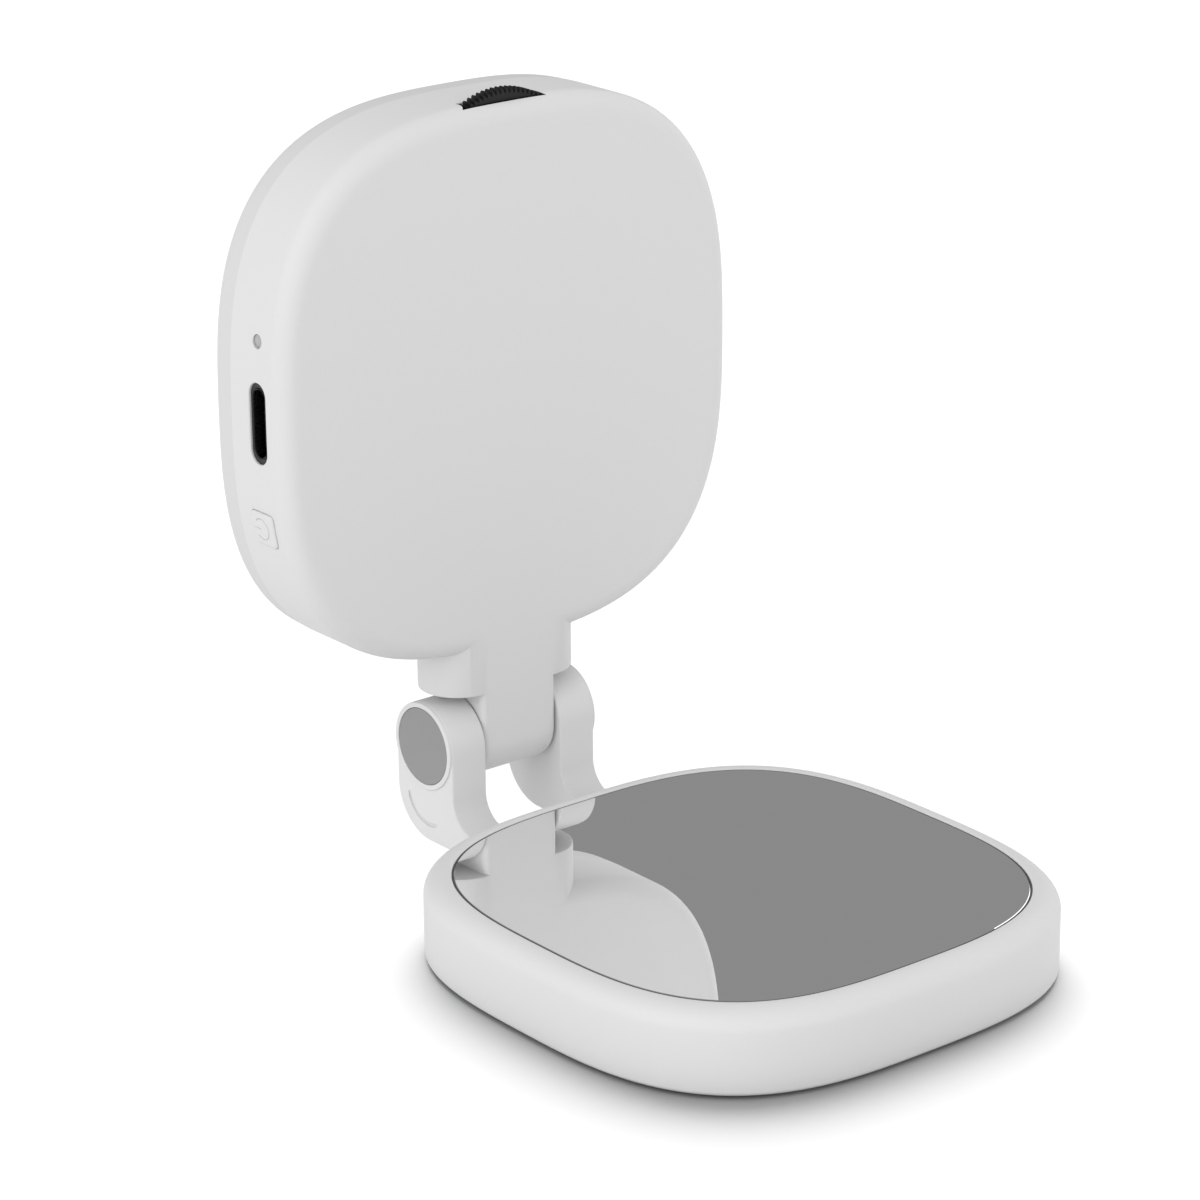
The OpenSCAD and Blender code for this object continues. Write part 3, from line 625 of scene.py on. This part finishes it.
bezel_profile = [
    (BEZEL_R + BEZEL_FLANGE, bezel_low_y), (BEZEL_R + BEZEL_FLANGE, bezel_low_y + BEZEL_FLANGE),
    (BEZEL_R, bezel_low_y + BEZEL_FLANGE), (BEZEL_R, bezel_top_y - BEZEL_EDGE),
    (BEZEL_R - BEZEL_EDGE_MID, bezel_top_y - BEZEL_EDGE_MID), (BEZEL_R - BEZEL_EDGE, bezel_top_y),
    (BEZEL_SEAT_R + SEAT_EDGE, bezel_top_y), (BEZEL_SEAT_R, bezel_top_y - SEAT_EDGE),
    (BEZEL_SEAT_R, FRONT_Y - BEZEL_SEAT_D), (BEZEL_BORE_R, FRONT_Y - BEZEL_SEAT_D),
]
for k in range(BAFFLES):
    baffle_y = FRONT_Y - BAFFLE_START - BAFFLE_PITCH * k
    bezel_profile += [(BEZEL_BORE_R, baffle_y), (BEZEL_BORE_R + RIB_DEPTH, baffle_y - BAFFLE_RISE)]
bezel_profile += [(BEZEL_BORE_R, bezel_low_y)]
settle(
    "bezel", turned(bezel_profile, ends=False),
    "head", matt_black, "black_plastic", "lens_bezel",
)

glass_r = window_high.x
settle(
    "front_glass",
    turned([
        (glass_r - GLASS_EDGE, window_low.y), (glass_r, window_low.y + GLASS_EDGE),
        (glass_r, window_high.y - GLASS_EDGE), (glass_r - GLASS_EDGE, window_high.y),
    ]),
    "head", coated_glass, "lens_glass", "lens_window",
)

barrel_r = barrel_high.x - BARREL_FLANGE
barrel_bore_r = 2.2 * MM
barrel_profile = [(barrel_r, barrel_low.y)]
for k in range(BARREL_RIBS):
    rib_y = barrel_low.y + (0.3 + 0.4 * k) * MM
    barrel_profile += [
        (barrel_r, rib_y), (barrel_r - RIB_DEPTH, rib_y + 0.1 * MM), (barrel_r, rib_y + 0.2 * MM),
    ]
barrel_profile += [
    (barrel_r, barrel_high.y - BARREL_HEAD_T), (barrel_high.x, barrel_high.y - BARREL_HEAD_T),
    (barrel_high.x, barrel_high.y - BARREL_EDGE), (barrel_high.x - BARREL_EDGE, barrel_high.y),
    (barrel_bore_r + BARREL_MOUTH, barrel_high.y), (barrel_bore_r, barrel_high.y - BARREL_MOUTH),
    (barrel_bore_r, barrel_low.y),
]
settle(
    "barrel", turned(barrel_profile, ends=False),
    "head", anodised_black, "black_metal", "lens_barrel",
)

# ---- Dimmer wheel ----
# A black acetal thumb wheel with V-shaped teeth moulded round its rim and a
# plain hub, pressed on the stem of the rotary control behind it.
WHEEL_TEETH = 104
TOOTH_DEPTH = 0.45 * MM
WHEEL_CHAMFER = 0.2 * MM
TOOTH_PROFILE = ((0, 0), (0.18, 0), (0.5, 1), (0.68, 1))
DISH_R = WHEEL_R - 2 * MM
DISH_EDGE_R = WHEEL_R - 1.6 * MM
DISH_D = 0.15 * MM
HUB_R = 3 * MM
HUB_T = 0.25 * MM
STEM_R = 2 * MM
wheel_black = surface(
    "black_acetal", grey(0.004), grey(0.008), 0.15 * MM, 1.5e-6, 0.4, 0.55, Specular_IOR_Level=0.3
)


def toothed(inset, y):
    """The wheel's toothed outline: a narrow crest and a narrow root for each tooth."""
    points = []
    for k in range(WHEEL_TEETH):
        for share, depth in TOOTH_PROFILE:
            turn = 2 * math.pi * (k + share) / WHEEL_TEETH
            radius = WHEEL_R - inset - depth * TOOTH_DEPTH
            points.append((radius * math.cos(turn), WHEEL_Z + radius * math.sin(turn)))
    return along_y(points, y)


rim_count = len(TOOTH_PROFILE) * WHEEL_TEETH
wheel_back_y = wheel_low.y + WHEEL_T
settle(
    "thumb_wheel",
    skinned(
        [
            along_y(circle(DISH_R, rim_count, (0, WHEEL_Z)), wheel_low.y + DISH_D),
            along_y(circle(DISH_EDGE_R, rim_count, (0, WHEEL_Z)), wheel_low.y),
            toothed(WHEEL_CHAMFER, wheel_low.y),
            toothed(0, wheel_low.y + WHEEL_CHAMFER),
            toothed(0, wheel_back_y - WHEEL_CHAMFER),
            toothed(WHEEL_CHAMFER, wheel_back_y),
        ]
        + [
            along_y(circle(r, rim_count, (0, WHEEL_Z)), y)
            for r, y in (
                (HUB_R, wheel_back_y), (HUB_R, wheel_back_y + HUB_T),
                (STEM_R, wheel_back_y + HUB_T), (STEM_R, wheel_high.y),
            )
        ]
    ),
    "dimmer", wheel_black, "black_plastic", "dimmer_wheel",
)

# ---- Power key ----
# A moulded white key whose face follows the curve of the wall a little proud
# of it, with the usual power sign cut into it. A flange keeps it in its hole.
key_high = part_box("power_button")[1]
KEY_PROUD = 0.3 * MM
KEY_EDGE_R = 0.28 * MM
KEY_NECK = 0.5 * MM
KEY_SIDE_D = 1.2 * MM
KEY_STEM_END = 0.3 * MM
FACE_SHARES = (0.9, 0.75, 0.6, 0.45, 0.3, 0.15, 0.02)
FLANGE_LOW_Y = CONTROL_Y - KEY_HALF_W - 0.6 * MM
FLANGE_HIGH_Y = CONTROL_Y + 1.4 * MM
FLANGE_HALF_H = KEY_HALF_H + 0.7 * MM
FLANGE_GAP = 0.8 * MM
SIGN_R = 1.35 * MM
SIGN_SPAN = 140
SIGN_LINE_R = 0.08 * MM
SIGN_LINE_D = 0.12 * MM
SIGN_BAR = (0.2, 0.3, 0.8, 1.5, 1.6)
SIGN_CENTRE = (KEY_Y + 0.15 * MM, KEY_Z)
TIP_SHARE = 0.3


def wall_x(z):
    """Where the head's left wall is at one height."""
    share = abs((z - HEAD_Z) / HEAD_HALF_H) ** HEAD_SQUARE
    return -HEAD_HALF_W * (1 - share) ** (1 / HEAD_SQUARE)


def key_ring(inset, drop):
    """The key's outline drawn in by the inset, that far below the key's face."""
    return [(wall_x(z) - KEY_PROUD + drop, y, z) for y, z in key_plan(-inset)]


def key_face(share):
    """The edge of the key's face, shrunk to a share of its size."""
    plan = [
        (KEY_Y + (y - KEY_Y) * share, KEY_Z + (z - KEY_Z) * share)
        for y, z in key_plan(-KEY_EDGE_R)
    ]
    return [(wall_x(z) - KEY_PROUD, y, z) for y, z in plan]


def sign_line(points):
    """A thin tube through points on the key's face, closed to a tip at both ends."""
    rings = []
    last = len(points) - 1
    for k, (y, z) in enumerate(points):
        before, after = points[max(k - 1, 0)], points[min(k + 1, last)]
        across = Vector((0, before[1] - after[1], after[0] - before[0])).normalized()
        size = TIP_SHARE if k in (0, last) else 1.0
        centre = Vector((wall_x(z) - KEY_PROUD, y, z))
        rings.append([
            centre
            + across * (SIGN_LINE_R * size * math.cos(a))
            + Vector((SIGN_LINE_D * size * math.sin(a), 0, 0))
            for a in [2 * math.pi * j / 12 for j in range(12)]
        ])
    return skinned(rings)


key_neck_x = wall_x(KEY_Z) + SHELL_WALL
key_body = skinned(
    [along_x(key_plan(-KEY_NECK), x) for x in (key_high.x - KEY_STEM_END, key_neck_x)]
    + [key_ring(inset, drop) for inset, drop in [(0, KEY_SIDE_D)] + rounding(KEY_EDGE_R, 4)]
    + [key_face(share) for share in FACE_SHARES]
)
sign_arc = [
    (2 * SIGN_CENTRE[0] - y, z) for y, z in arc(SIGN_CENTRE, SIGN_R, -SIGN_SPAN, SIGN_SPAN, 28)
]
sign_bar = [(SIGN_CENTRE[0] + s * MM, SIGN_CENTRE[1]) for s in SIGN_BAR]
flange_plan = [
    (FLANGE_LOW_Y, KEY_Z - FLANGE_HALF_H), (FLANGE_HIGH_Y, KEY_Z - FLANGE_HALF_H),
    (FLANGE_HIGH_Y, KEY_Z + FLANGE_HALF_H), (FLANGE_LOW_Y, KEY_Z + FLANGE_HALF_H),
]
key_flange = skinned([
    along_x(flange_plan, x) for x in (key_neck_x + FLANGE_GAP, key_high.x)
])
settle(
    "power_key_cap",
    reshaped(key_body, [
        ("UNION", key_flange),
        ("DIFFERENCE", sign_line(sign_arc)),
        ("DIFFERENCE", sign_line(sign_bar)),
    ]),
    "power_key", white_plastic, "white_plastic", "power_button",
)

# ---- Charging inlet ----
# A drawn steel shell with a rolled mouth, coloured near black as painted shade for
# the dark inside of the inlet. A black sleeve in the wall round it is painted shade
# in the gap. Its black tongue has gold-plated contacts on each face.
PORT_WALL = 0.3 * MM
TONGUE_HALF_T = 0.35 * MM
TONGUE_HALF_L = 3.3 * MM
TONGUE_TIP = 0.12 * MM
TONGUE_START = 1 * MM
TONGUE_BLOCK = 1.5 * MM
BLOCK_GAP = 0.01 * MM
SHADE_SLEEVE_START = 0.1 * MM
SHADE_SLEEVE_GAP = 0.02 * MM
CONTACTS = 12
CONTACT_PITCH = 0.5 * MM
CONTACT_SIZE = (3.2 * MM, 0.06 * MM, 0.26 * MM)
CONTACT_X = port_low.x + 3 * MM
CONTACT_EDGE = 0.02 * MM
MOUTH_ROLL = ((-0.3, 0.2), (-0.22, 0.05), (-0.13, 0), (-0.04, 0.04), (0, 0.13))

# The shell's near-black is painted shade: the steel inside the inlet looks dark only because little
# light gets in.
inlet_shell_painted_shade = surface(
    "inlet_steel_painted_shade", grey(0.03), grey(0.05), 0.1 * MM, 5e-7, 0.22, 0.36,
    stretch=(0.15, 1, 1), Metallic=1.0,
)
gold_plate = surface(
    "gold_plate", (0.75, 0.52, 0.2), (0.85, 0.6, 0.26), 0.1 * MM, 2e-7, 0.2, 0.3, Metallic=1.0
)

settle(
    "inlet_shell",
    skinned(
        [port_line(-PORT_WALL, port_high.x - PORT_WALL)]
        + [port_line(margin * MM, port_low.x + depth * MM) for margin, depth in MOUTH_ROLL]
        + [port_line(0, port_high.x)]
    ),
    "head", inlet_shell_painted_shade, "steel", "usb_shell",
)

# A black sleeve filling the gap between the wall's hole and the shell, as painted shade in that gap.
shade_sleeve_xs = (port_low.x + SHADE_SLEEVE_START, port_step_x)
settle(
    "inlet_painted_shade_sleeve",
    skinned(
        [port_line(PORT_GAP, x, PORT_END_GAP) for x in shade_sleeve_xs]
        + [port_line(SHADE_SLEEVE_GAP, x) for x in reversed(shade_sleeve_xs)],
        ends=False,
    ),
    "head", matt_black, "black_plastic",
)


def tongue_ring(margin, x):
    """The outline of the inlet's tongue with a margin, in a plane across X."""
    plan = slot_line(TONGUE_HALF_L + margin, TONGUE_HALF_T + margin, 32)
    return along_x([(CONTROL_Y + t, HEAD_Z + l) for l, t in plan], x)


settle(
    "inlet_tongue",
    skinned([
        tongue_ring(-TONGUE_TIP, port_low.x + TONGUE_START),
        tongue_ring(0, port_low.x + TONGUE_START + TONGUE_TIP),
        tongue_ring(0, port_high.x - TONGUE_BLOCK),
    ] + [
        port_line(-PORT_WALL - BLOCK_GAP, x)[::2]
        for x in (port_high.x - TONGUE_BLOCK, port_high.x - PORT_WALL)
    ]),
    "head", matt_black, "black_plastic", "usb_tongue",
)

contacts = bmesh.new()
for side in (-1, 1):
    for k in range(CONTACTS):
        z = HEAD_Z + (k - (CONTACTS - 1) / 2) * CONTACT_PITCH
        strip = bmesh.ops.create_cube(contacts, size=1)["verts"]
        bmesh.ops.scale(contacts, vec=CONTACT_SIZE, verts=strip)
        centre = Vector((CONTACT_X, CONTROL_Y + side * TONGUE_HALF_T, z))
        bmesh.ops.translate(contacts, vec=centre, verts=strip)
bmesh.ops.bevel(
    contacts, geom=list(contacts.edges), offset=CONTACT_EDGE, segments=1, profile=0.5,
    affect="EDGES", material=-1,
)
settle("inlet_contacts", contacts, "head", gold_plate, "brass")

# ---- Status light ----
# A short clear acrylic pipe with a slightly domed end, set just below the
# surface of the wall, which carries the light of a lamp on the board.
PIPE_DOME = 0.12 * MM
PIPE_COLLAR_R = PIPE_R + 0.5 * MM
PIPE_COLLAR_X = (-32.9 * MM, -32.3 * MM)
pipe_plastic = surface(
    "clear_acrylic", grey(0.3), grey(0.34), 0.6 * MM, 2e-7, 0.3, 0.36, IOR=1.49, Coat_Weight=0.3
)
pipe_rings = [
    (PIPE_R * share, pipe_low.x + PIPE_DOME * fall)
    for share, fall in ((0.25, 0), (0.6, 0.15), (0.85, 0.5), (1.0, 1.0))
]
pipe_rings += [
    (PIPE_R, PIPE_COLLAR_X[0]), (PIPE_COLLAR_R, PIPE_COLLAR_X[0]),
    (PIPE_COLLAR_R, PIPE_COLLAR_X[1]), (PIPE_R, PIPE_COLLAR_X[1]), (PIPE_R, pipe_high.x),
]
settle(
    "light_pipe",
    skinned([
        along_x(circle(radius, PIPE_CORNERS, (CONTROL_Y, PIPE_Z)), x) for radius, x in pipe_rings
    ]),
    "head", pipe_plastic, "clear_plastic", "status_light",
)

# ---- Hinge yoke ----
# Two J-shaped arms moulded in white with the plate that joins them, which is
# screwed down inside the base. A raised ring frames the cap on each knuckle.
yoke_low, yoke_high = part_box("hinge_yoke")
caps_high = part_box("hinge_caps")[1]
ARM_IN_X = 6 * MM
ARM_OUT_X = 11.5 * MM
ARM_R = 5.8 * MM
ARM_EDGE_R = 0.35 * MM
HEEL_R = 6.6 * MM
INSTEP_R = 3.8 * MM
FOOT_T = 3.2 * MM
PLATE_BACK_Y = 31 * MM
FOOT_START_Y = PLATE_BACK_Y - 1 * MM
RING_R = ARM_R - 0.05 * MM
RING_H = 0.25 * MM
RING_EDGE_R = 0.15 * MM
RING_ROOT = 0.6 * MM
CAP_SEAT_R = caps_high.z - HINGE.z + 0.05 * MM
CAP_SEAT_X = 10.8 * MM
SEAT_LIP = 0.06 * MM
SEAT_LIP_D = 0.05 * MM
PAST = 1 * MM
PIN_R = 1.55 * MM
GROOVE_R = HEEL_R - 2.3 * MM
GROOVE_HALF_W = 0.3 * MM
GROOVE_DEPTH = 0.35 * MM
GROOVE_START, GROOVE_SPAN = -112, 100
GROOVE_STEPS = 30
GROOVE_TIP = 0.35
foot_low_z = yoke_low.z
foot_top_z = yoke_low.z + FOOT_T
ring_x = ARM_OUT_X + RING_H
heel = (HINGE.y + ARM_R - HEEL_R, foot_low_z + HEEL_R)
instep = (HINGE.y - ARM_R - INSTEP_R, foot_top_z + INSTEP_R)

arm_side = [(FOOT_START_Y, foot_low_z)]
arm_side += arc(heel, HEEL_R, -90, 0, 24)
arm_side += arc((HINGE.y, HINGE.z), ARM_R, 0, 180, 48)
arm_side += arc(instep, INSTEP_R, 0, -90, 20)
arm_side += [(FOOT_START_Y, foot_top_z)]


def groove_tool(side):
    """A bar that follows the groove's arc in an arm's outer face, thinning at its ends."""
    rings = []
    for k in range(GROOVE_STEPS + 1):
        a = math.radians(GROOVE_START + GROOVE_SPAN * k / GROOVE_STEPS)
        size = min(1.0, GROOVE_TIP + (1 - GROOVE_TIP) * min(k, GROOVE_STEPS - k) / 2)
        rings.append([
            (
                side * ARM_OUT_X + GROOVE_DEPTH * size * math.sin(b),
                heel[0] + (GROOVE_R + GROOVE_HALF_W * size * math.cos(b)) * math.cos(a),
                heel[1] + (GROOVE_R + GROOVE_HALF_W * size * math.cos(b)) * math.sin(a),
            )
            for b in [2 * math.pi * j / 16 for j in range(16)]
        ])
    return skinned(rings)


def hinge_turned(profile, side):
    """A shape turned about the hinge axis from (radius, x) pairs, on one side."""
    return skinned([
        along_x(circle(r, 96, (HINGE.y, HINGE.z)), side * x) for r, x in profile
    ])


def arm(side):
    """One arm with its ring, cap seat and groove."""
    faces = (side * ARM_IN_X, side * ARM_OUT_X)
    blank = bevelled(skinned([along_x(arm_side, x) for x in faces]), faces, ARM_EDGE_R, 4)
    ring = [(RING_R, ARM_OUT_X - RING_ROOT)]
    ring += [(RING_R - inset, ring_x - drop) for inset, drop in rounding(RING_EDGE_R, 4)]
    seat = [
        (CAP_SEAT_R, CAP_SEAT_X), (CAP_SEAT_R, ring_x - SEAT_LIP_D),
        (CAP_SEAT_R + SEAT_LIP, ring_x + 0.01 * MM), (CAP_SEAT_R + SEAT_LIP, ring_x + PAST),
    ]
    return reshaped(blank, [
        ("UNION", hinge_turned(ring, side)),
        ("DIFFERENCE", hinge_turned(seat, side)),
        ("DIFFERENCE", hinge_turned([(PIN_R, ARM_IN_X - PAST), (PIN_R, ring_x)], side)),
        ("DIFFERENCE", groove_tool(side)),
    ])


plate_plan = [
    (yoke_low.x, yoke_low.y), (yoke_high.x, yoke_low.y),
    (yoke_high.x, PLATE_BACK_Y), (yoke_low.x, PLATE_BACK_Y),
]
yoke_plate = skinned([along_z(plate_plan, z) for z in (foot_low_z, foot_top_z)])
settle(
    "yoke",
    reshaped(yoke_plate, [("UNION", arm(-1)), ("UNION", arm(1))]),
    "base", white_plastic, "white_plastic", "hinge_yoke",
)

# ---- Hinge caps ----
# Two discs pressed into the knuckles over the bolt's ends, with a small turned
# chamfer round each face. Their flat grey is a painted reflection of the room in bright metal.
CAP_CHAMFER = 0.06 * MM
# Flat grey as a painted reflection, in place of the room that a bright metal cap reflects.
cap_painted_reflection = surface(
    "cap_grey_painted_reflection", grey(0.215), grey(0.232), 0.18 * MM, 8e-7, 0.4, 0.5, Specular_IOR_Level=0.4
)
cap_r = caps_high.z - HINGE.z
cap_profile = [
    (cap_r, CAP_SEAT_X), (cap_r, caps_high.x - CAP_CHAMFER),
    (cap_r - CAP_CHAMFER, caps_high.x), (cap_r - FACE_MARGIN, caps_high.x),
]
for side, cap_name in ((-1, "left_cap"), (1, "right_cap")):
    settle(cap_name, hinge_turned(cap_profile, side), "base", cap_painted_reflection, "cap_metal", "hinge_caps")

# ---- Base shell ----
# A shallow moulded white tub, upside down, with a generous round over its top
# edge and a seat for the mirror. Two slots at the back let the arms in.
base_low, base_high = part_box("base_shell")
BASE_SQUARE = 3.06
BASE_CORNERS = 192
BASE_EDGE_R = 2.5 * MM
BASE_FOOT_R = 0.6 * MM
BASE_WALL = 1.6 * MM
RIM_W = 3.08 * MM
SEAT_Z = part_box("mirror_pad")[0].z
DECK_LOW_Z = 7 * MM
SLOT_GAP = 0.1 * MM
SIDE_STEPS = 5
SEAT_EDGE_R = 0.1 * MM
SEAT_EDGE_MID = 0.03 * MM


def base_line(inset, z):
    """The base's outline at one height, drawn in from its widest by the inset."""
    plan = rounded_square(base_high.x - inset, base_high.y - inset, BASE_SQUARE, BASE_CORNERS)
    return along_z(plan, z)


def arm_slot(side):
    """The room that one arm's foot needs in the base's back wall."""
    x0, x1 = side * (ARM_IN_X - SLOT_GAP), side * (ARM_OUT_X + SLOT_GAP)
    y0, y1 = FOOT_START_Y, base_high.y + PAST
    plan = [(x0, y0), (x1, y0), (x1, y1), (x0, y1)]
    return skinned([along_z(plan, z) for z in (base_low.z - PAST, foot_top_z + SLOT_GAP)])


base_rings = [(BASE_WALL, DECK_LOW_Z), (BASE_WALL, base_low.z)]
base_rings += [(inset, base_low.z + drop) for inset, drop in reversed(rounding(BASE_FOOT_R, 5))]
foot_z, shoulder_z = base_low.z + BASE_FOOT_R, base_high.z - BASE_EDGE_R
base_rings += [
    (0, foot_z + (shoulder_z - foot_z) * k / SIDE_STEPS) for k in range(1, SIDE_STEPS)
]
base_rings += [(inset, base_high.z - drop) for inset, drop in rounding(BASE_EDGE_R, 12)]
base_rings += [
    (RIM_W - SEAT_EDGE_R, base_high.z), (RIM_W - SEAT_EDGE_MID, base_high.z - SEAT_EDGE_MID),
    (RIM_W, base_high.z - SEAT_EDGE_R), (RIM_W, SEAT_Z),
]
base_tub = settle(
    "base_tub",
    reshaped(
        skinned([base_line(inset, z) for inset, z in base_rings]),
        [("DIFFERENCE", arm_slot(-1)), ("DIFFERENCE", arm_slot(1))],
    ),
    "base", white_plastic, "white_plastic", "base_shell",
)
base_outline.objects.link(base_tub)

# ---- Mirror and its trim ----
# A silvered glass with a fine ground edge, glued into its seat on a foam pad.
# A thin dark trim fills the joint between the glass and the rim.
glass_low, glass_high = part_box("mirror_glass")
trim_low, trim_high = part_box("mirror_trim")
GLASS_ARRIS = 0.08 * MM
TRIM_ROUND = 0.05 * MM
TRIM_W = 0.17 * MM
glass_inset = base_high.x - glass_high.x
trim_out = base_high.x - trim_high.x
trim_in = trim_out + TRIM_W

silvered = surface(
    "silvered_glass", grey(0.955), grey(0.965), 9 * MM, 0, 0.004, 0.014, Metallic=1.0
)
trim_dark = surface("dark_trim", grey(0.05), grey(0.08), 0.2 * MM, 1e-6, 0.6, 0.7)

glass_rings = [
    (glass_inset, glass_low.z), (glass_inset, glass_high.z - GLASS_ARRIS),
    (glass_inset + GLASS_ARRIS, glass_high.z), (glass_inset + FACE_MARGIN, glass_high.z),
]
settle(
    "mirror", skinned([base_line(inset, z) for inset, z in glass_rings]),
    "base", silvered, "mirror_glass", "mirror_glass",
)
trim_rings = [
    (trim_out, trim_low.z), (trim_out, trim_high.z - TRIM_ROUND),
    (trim_out + TRIM_ROUND, trim_high.z), (trim_in - TRIM_ROUND, trim_high.z),
    (trim_in, trim_high.z - TRIM_ROUND), (trim_in, trim_low.z),
]
settle(
    "mirror_edge_trim", skinned([base_line(inset, z) for inset, z in trim_rings], ends=False),
    "base", trim_dark, "trim_metal", "mirror_trim",
)

# ---- Grip pad ----
# A black silicone mat glued into the underside, with low ribs moulded round it
# in the shape of the base so that it grips a smooth table.
pad_low, pad_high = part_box("grip_pad")
PAD_RIBS = 5
PAD_RIB_STEP = 4 * MM
PAD_RIB_DEPTH = 0.12 * MM
PAD_GROOVE_W = 1 * MM
PAD_EDGE = 0.15 * MM
pad_inset = base_high.x - pad_high.x
grip_rubber = surface("grip_rubber", grey(0.016), grey(0.028), 0.2 * MM, 4e-6, 0.6, 0.75)

pad_rings = [
    (pad_inset, pad_high.z), (pad_inset, pad_low.z + PAD_EDGE), (pad_inset + PAD_EDGE, pad_low.z),
]
for k in range(1, PAD_RIBS + 1):
    start = pad_inset + k * PAD_RIB_STEP
    pad_rings += [
        (start, pad_low.z), (start + PAD_EDGE, pad_low.z + PAD_RIB_DEPTH),
        (start + PAD_GROOVE_W - PAD_EDGE, pad_low.z + PAD_RIB_DEPTH),
        (start + PAD_GROOVE_W, pad_low.z),
    ]
settle(
    "grip_mat", skinned([base_line(inset, z) for inset, z in pad_rings]),
    "base", grip_rubber, "grip_rubber", "grip_pad",
)

# ---- Base plate, fixings and weight ----
# A moulded closing plate under the base, black steel screws, the steel weight
# and foam pad above it, and the bolt, nut, washers and bush of the hinge.
def refinish(finish, *nodes):
    """Gives modelled parts that already have their right shape a finish of their own."""
    for node in nodes:
        part = frame["nodes"][node]
        for held in part.material_slots:
            held.material = finish


screw_steel = surface(
    "screw_steel", grey(0.42), grey(0.55), 0.12 * MM, 6e-7, 0.25, 0.4, Metallic=1.0
)
weight_steel = surface(
    "rolled_steel", (0.32, 0.33, 0.35), (0.42, 0.43, 0.45), 0.4 * MM, 1e-6, 0.35, 0.55,
    stretch=(0.2, 1, 1), Metallic=1.0,
)
brass = surface(
    "turned_brass", (0.6, 0.42, 0.16), (0.7, 0.5, 0.22), 0.12 * MM, 5e-7, 0.25, 0.4, Metallic=1.0
)
washer_plastic = surface(
    "washer_acetal", (0.62, 0.6, 0.52), (0.68, 0.66, 0.58), 0.2 * MM, 1e-6, 0.45, 0.6
)
foam = surface("black_foam", grey(0.015), grey(0.04), 0.25 * MM, 3e-5, 0.85, 0.95)
refinish(white_plastic, "base_plate")
refinish(
    screw_steel,
    "base_screws", "yoke_screws", "board_screws", "hinge_bolt", "hinge_nut", "spring_washer",
)
refinish(weight_steel, "ballast_plate")
refinish(brass, "hinge_bush")
refinish(washer_plastic, "friction_washers")
refinish(foam, "mirror_pad")

# ---- Boards, battery and camera inside the head ----
# A white board with a ring of lamps and a green main board with the switch and
# rotary control, a foil-wrapped battery, and the camera's sensor and holder.
white_board = surface("white_solder_mask", grey(0.6), grey(0.68), 0.5 * MM, 1e-6, 0.25, 0.4)
green_board = surface(
    "green_solder_mask", (0.01, 0.09, 0.035), (0.016, 0.15, 0.055), 0.8 * MM, 4e-6, 0.25, 0.4
)
lamp_yellow = surface(
    "lamp_phosphor", (0.72, 0.55, 0.08), (0.8, 0.64, 0.14), 0.1 * MM, 2e-6, 0.4, 0.55
)
battery_foil = surface(
    "battery_foil", grey(0.5), grey(0.62), 1.6 * MM, 1.2e-5, 0.25, 0.4, Metallic=1.0
)
red_wire = surface(
    "red_insulation", (0.4, 0.01, 0.01), (0.5, 0.02, 0.02), 0.2 * MM, 1e-6, 0.35, 0.5
)
sensor_chip = surface(
    "sensor_chip", (0.03, 0.02, 0.05), (0.05, 0.03, 0.09), 0.05 * MM, 2e-7, 0.1, 0.2, Coat_Weight=0.6
)
grey_plastic = surface("grey_acetal", grey(0.2), grey(0.25), 0.15 * MM, 1e-6, 0.4, 0.55)
refinish(white_board, "led_board")
refinish(green_board, "main_board")
refinish(lamp_yellow, "ring_leds", "status_led")
refinish(battery_foil, "battery")
refinish(red_wire, "battery_leads")
refinish(sensor_chip, "image_sensor")
refinish(matt_black, "camera_holder", "tact_switch", "dimmer_pot", "board_link")
refinish(coated_glass, "lens_elements")
refinish(grey_plastic, "switch_stem")
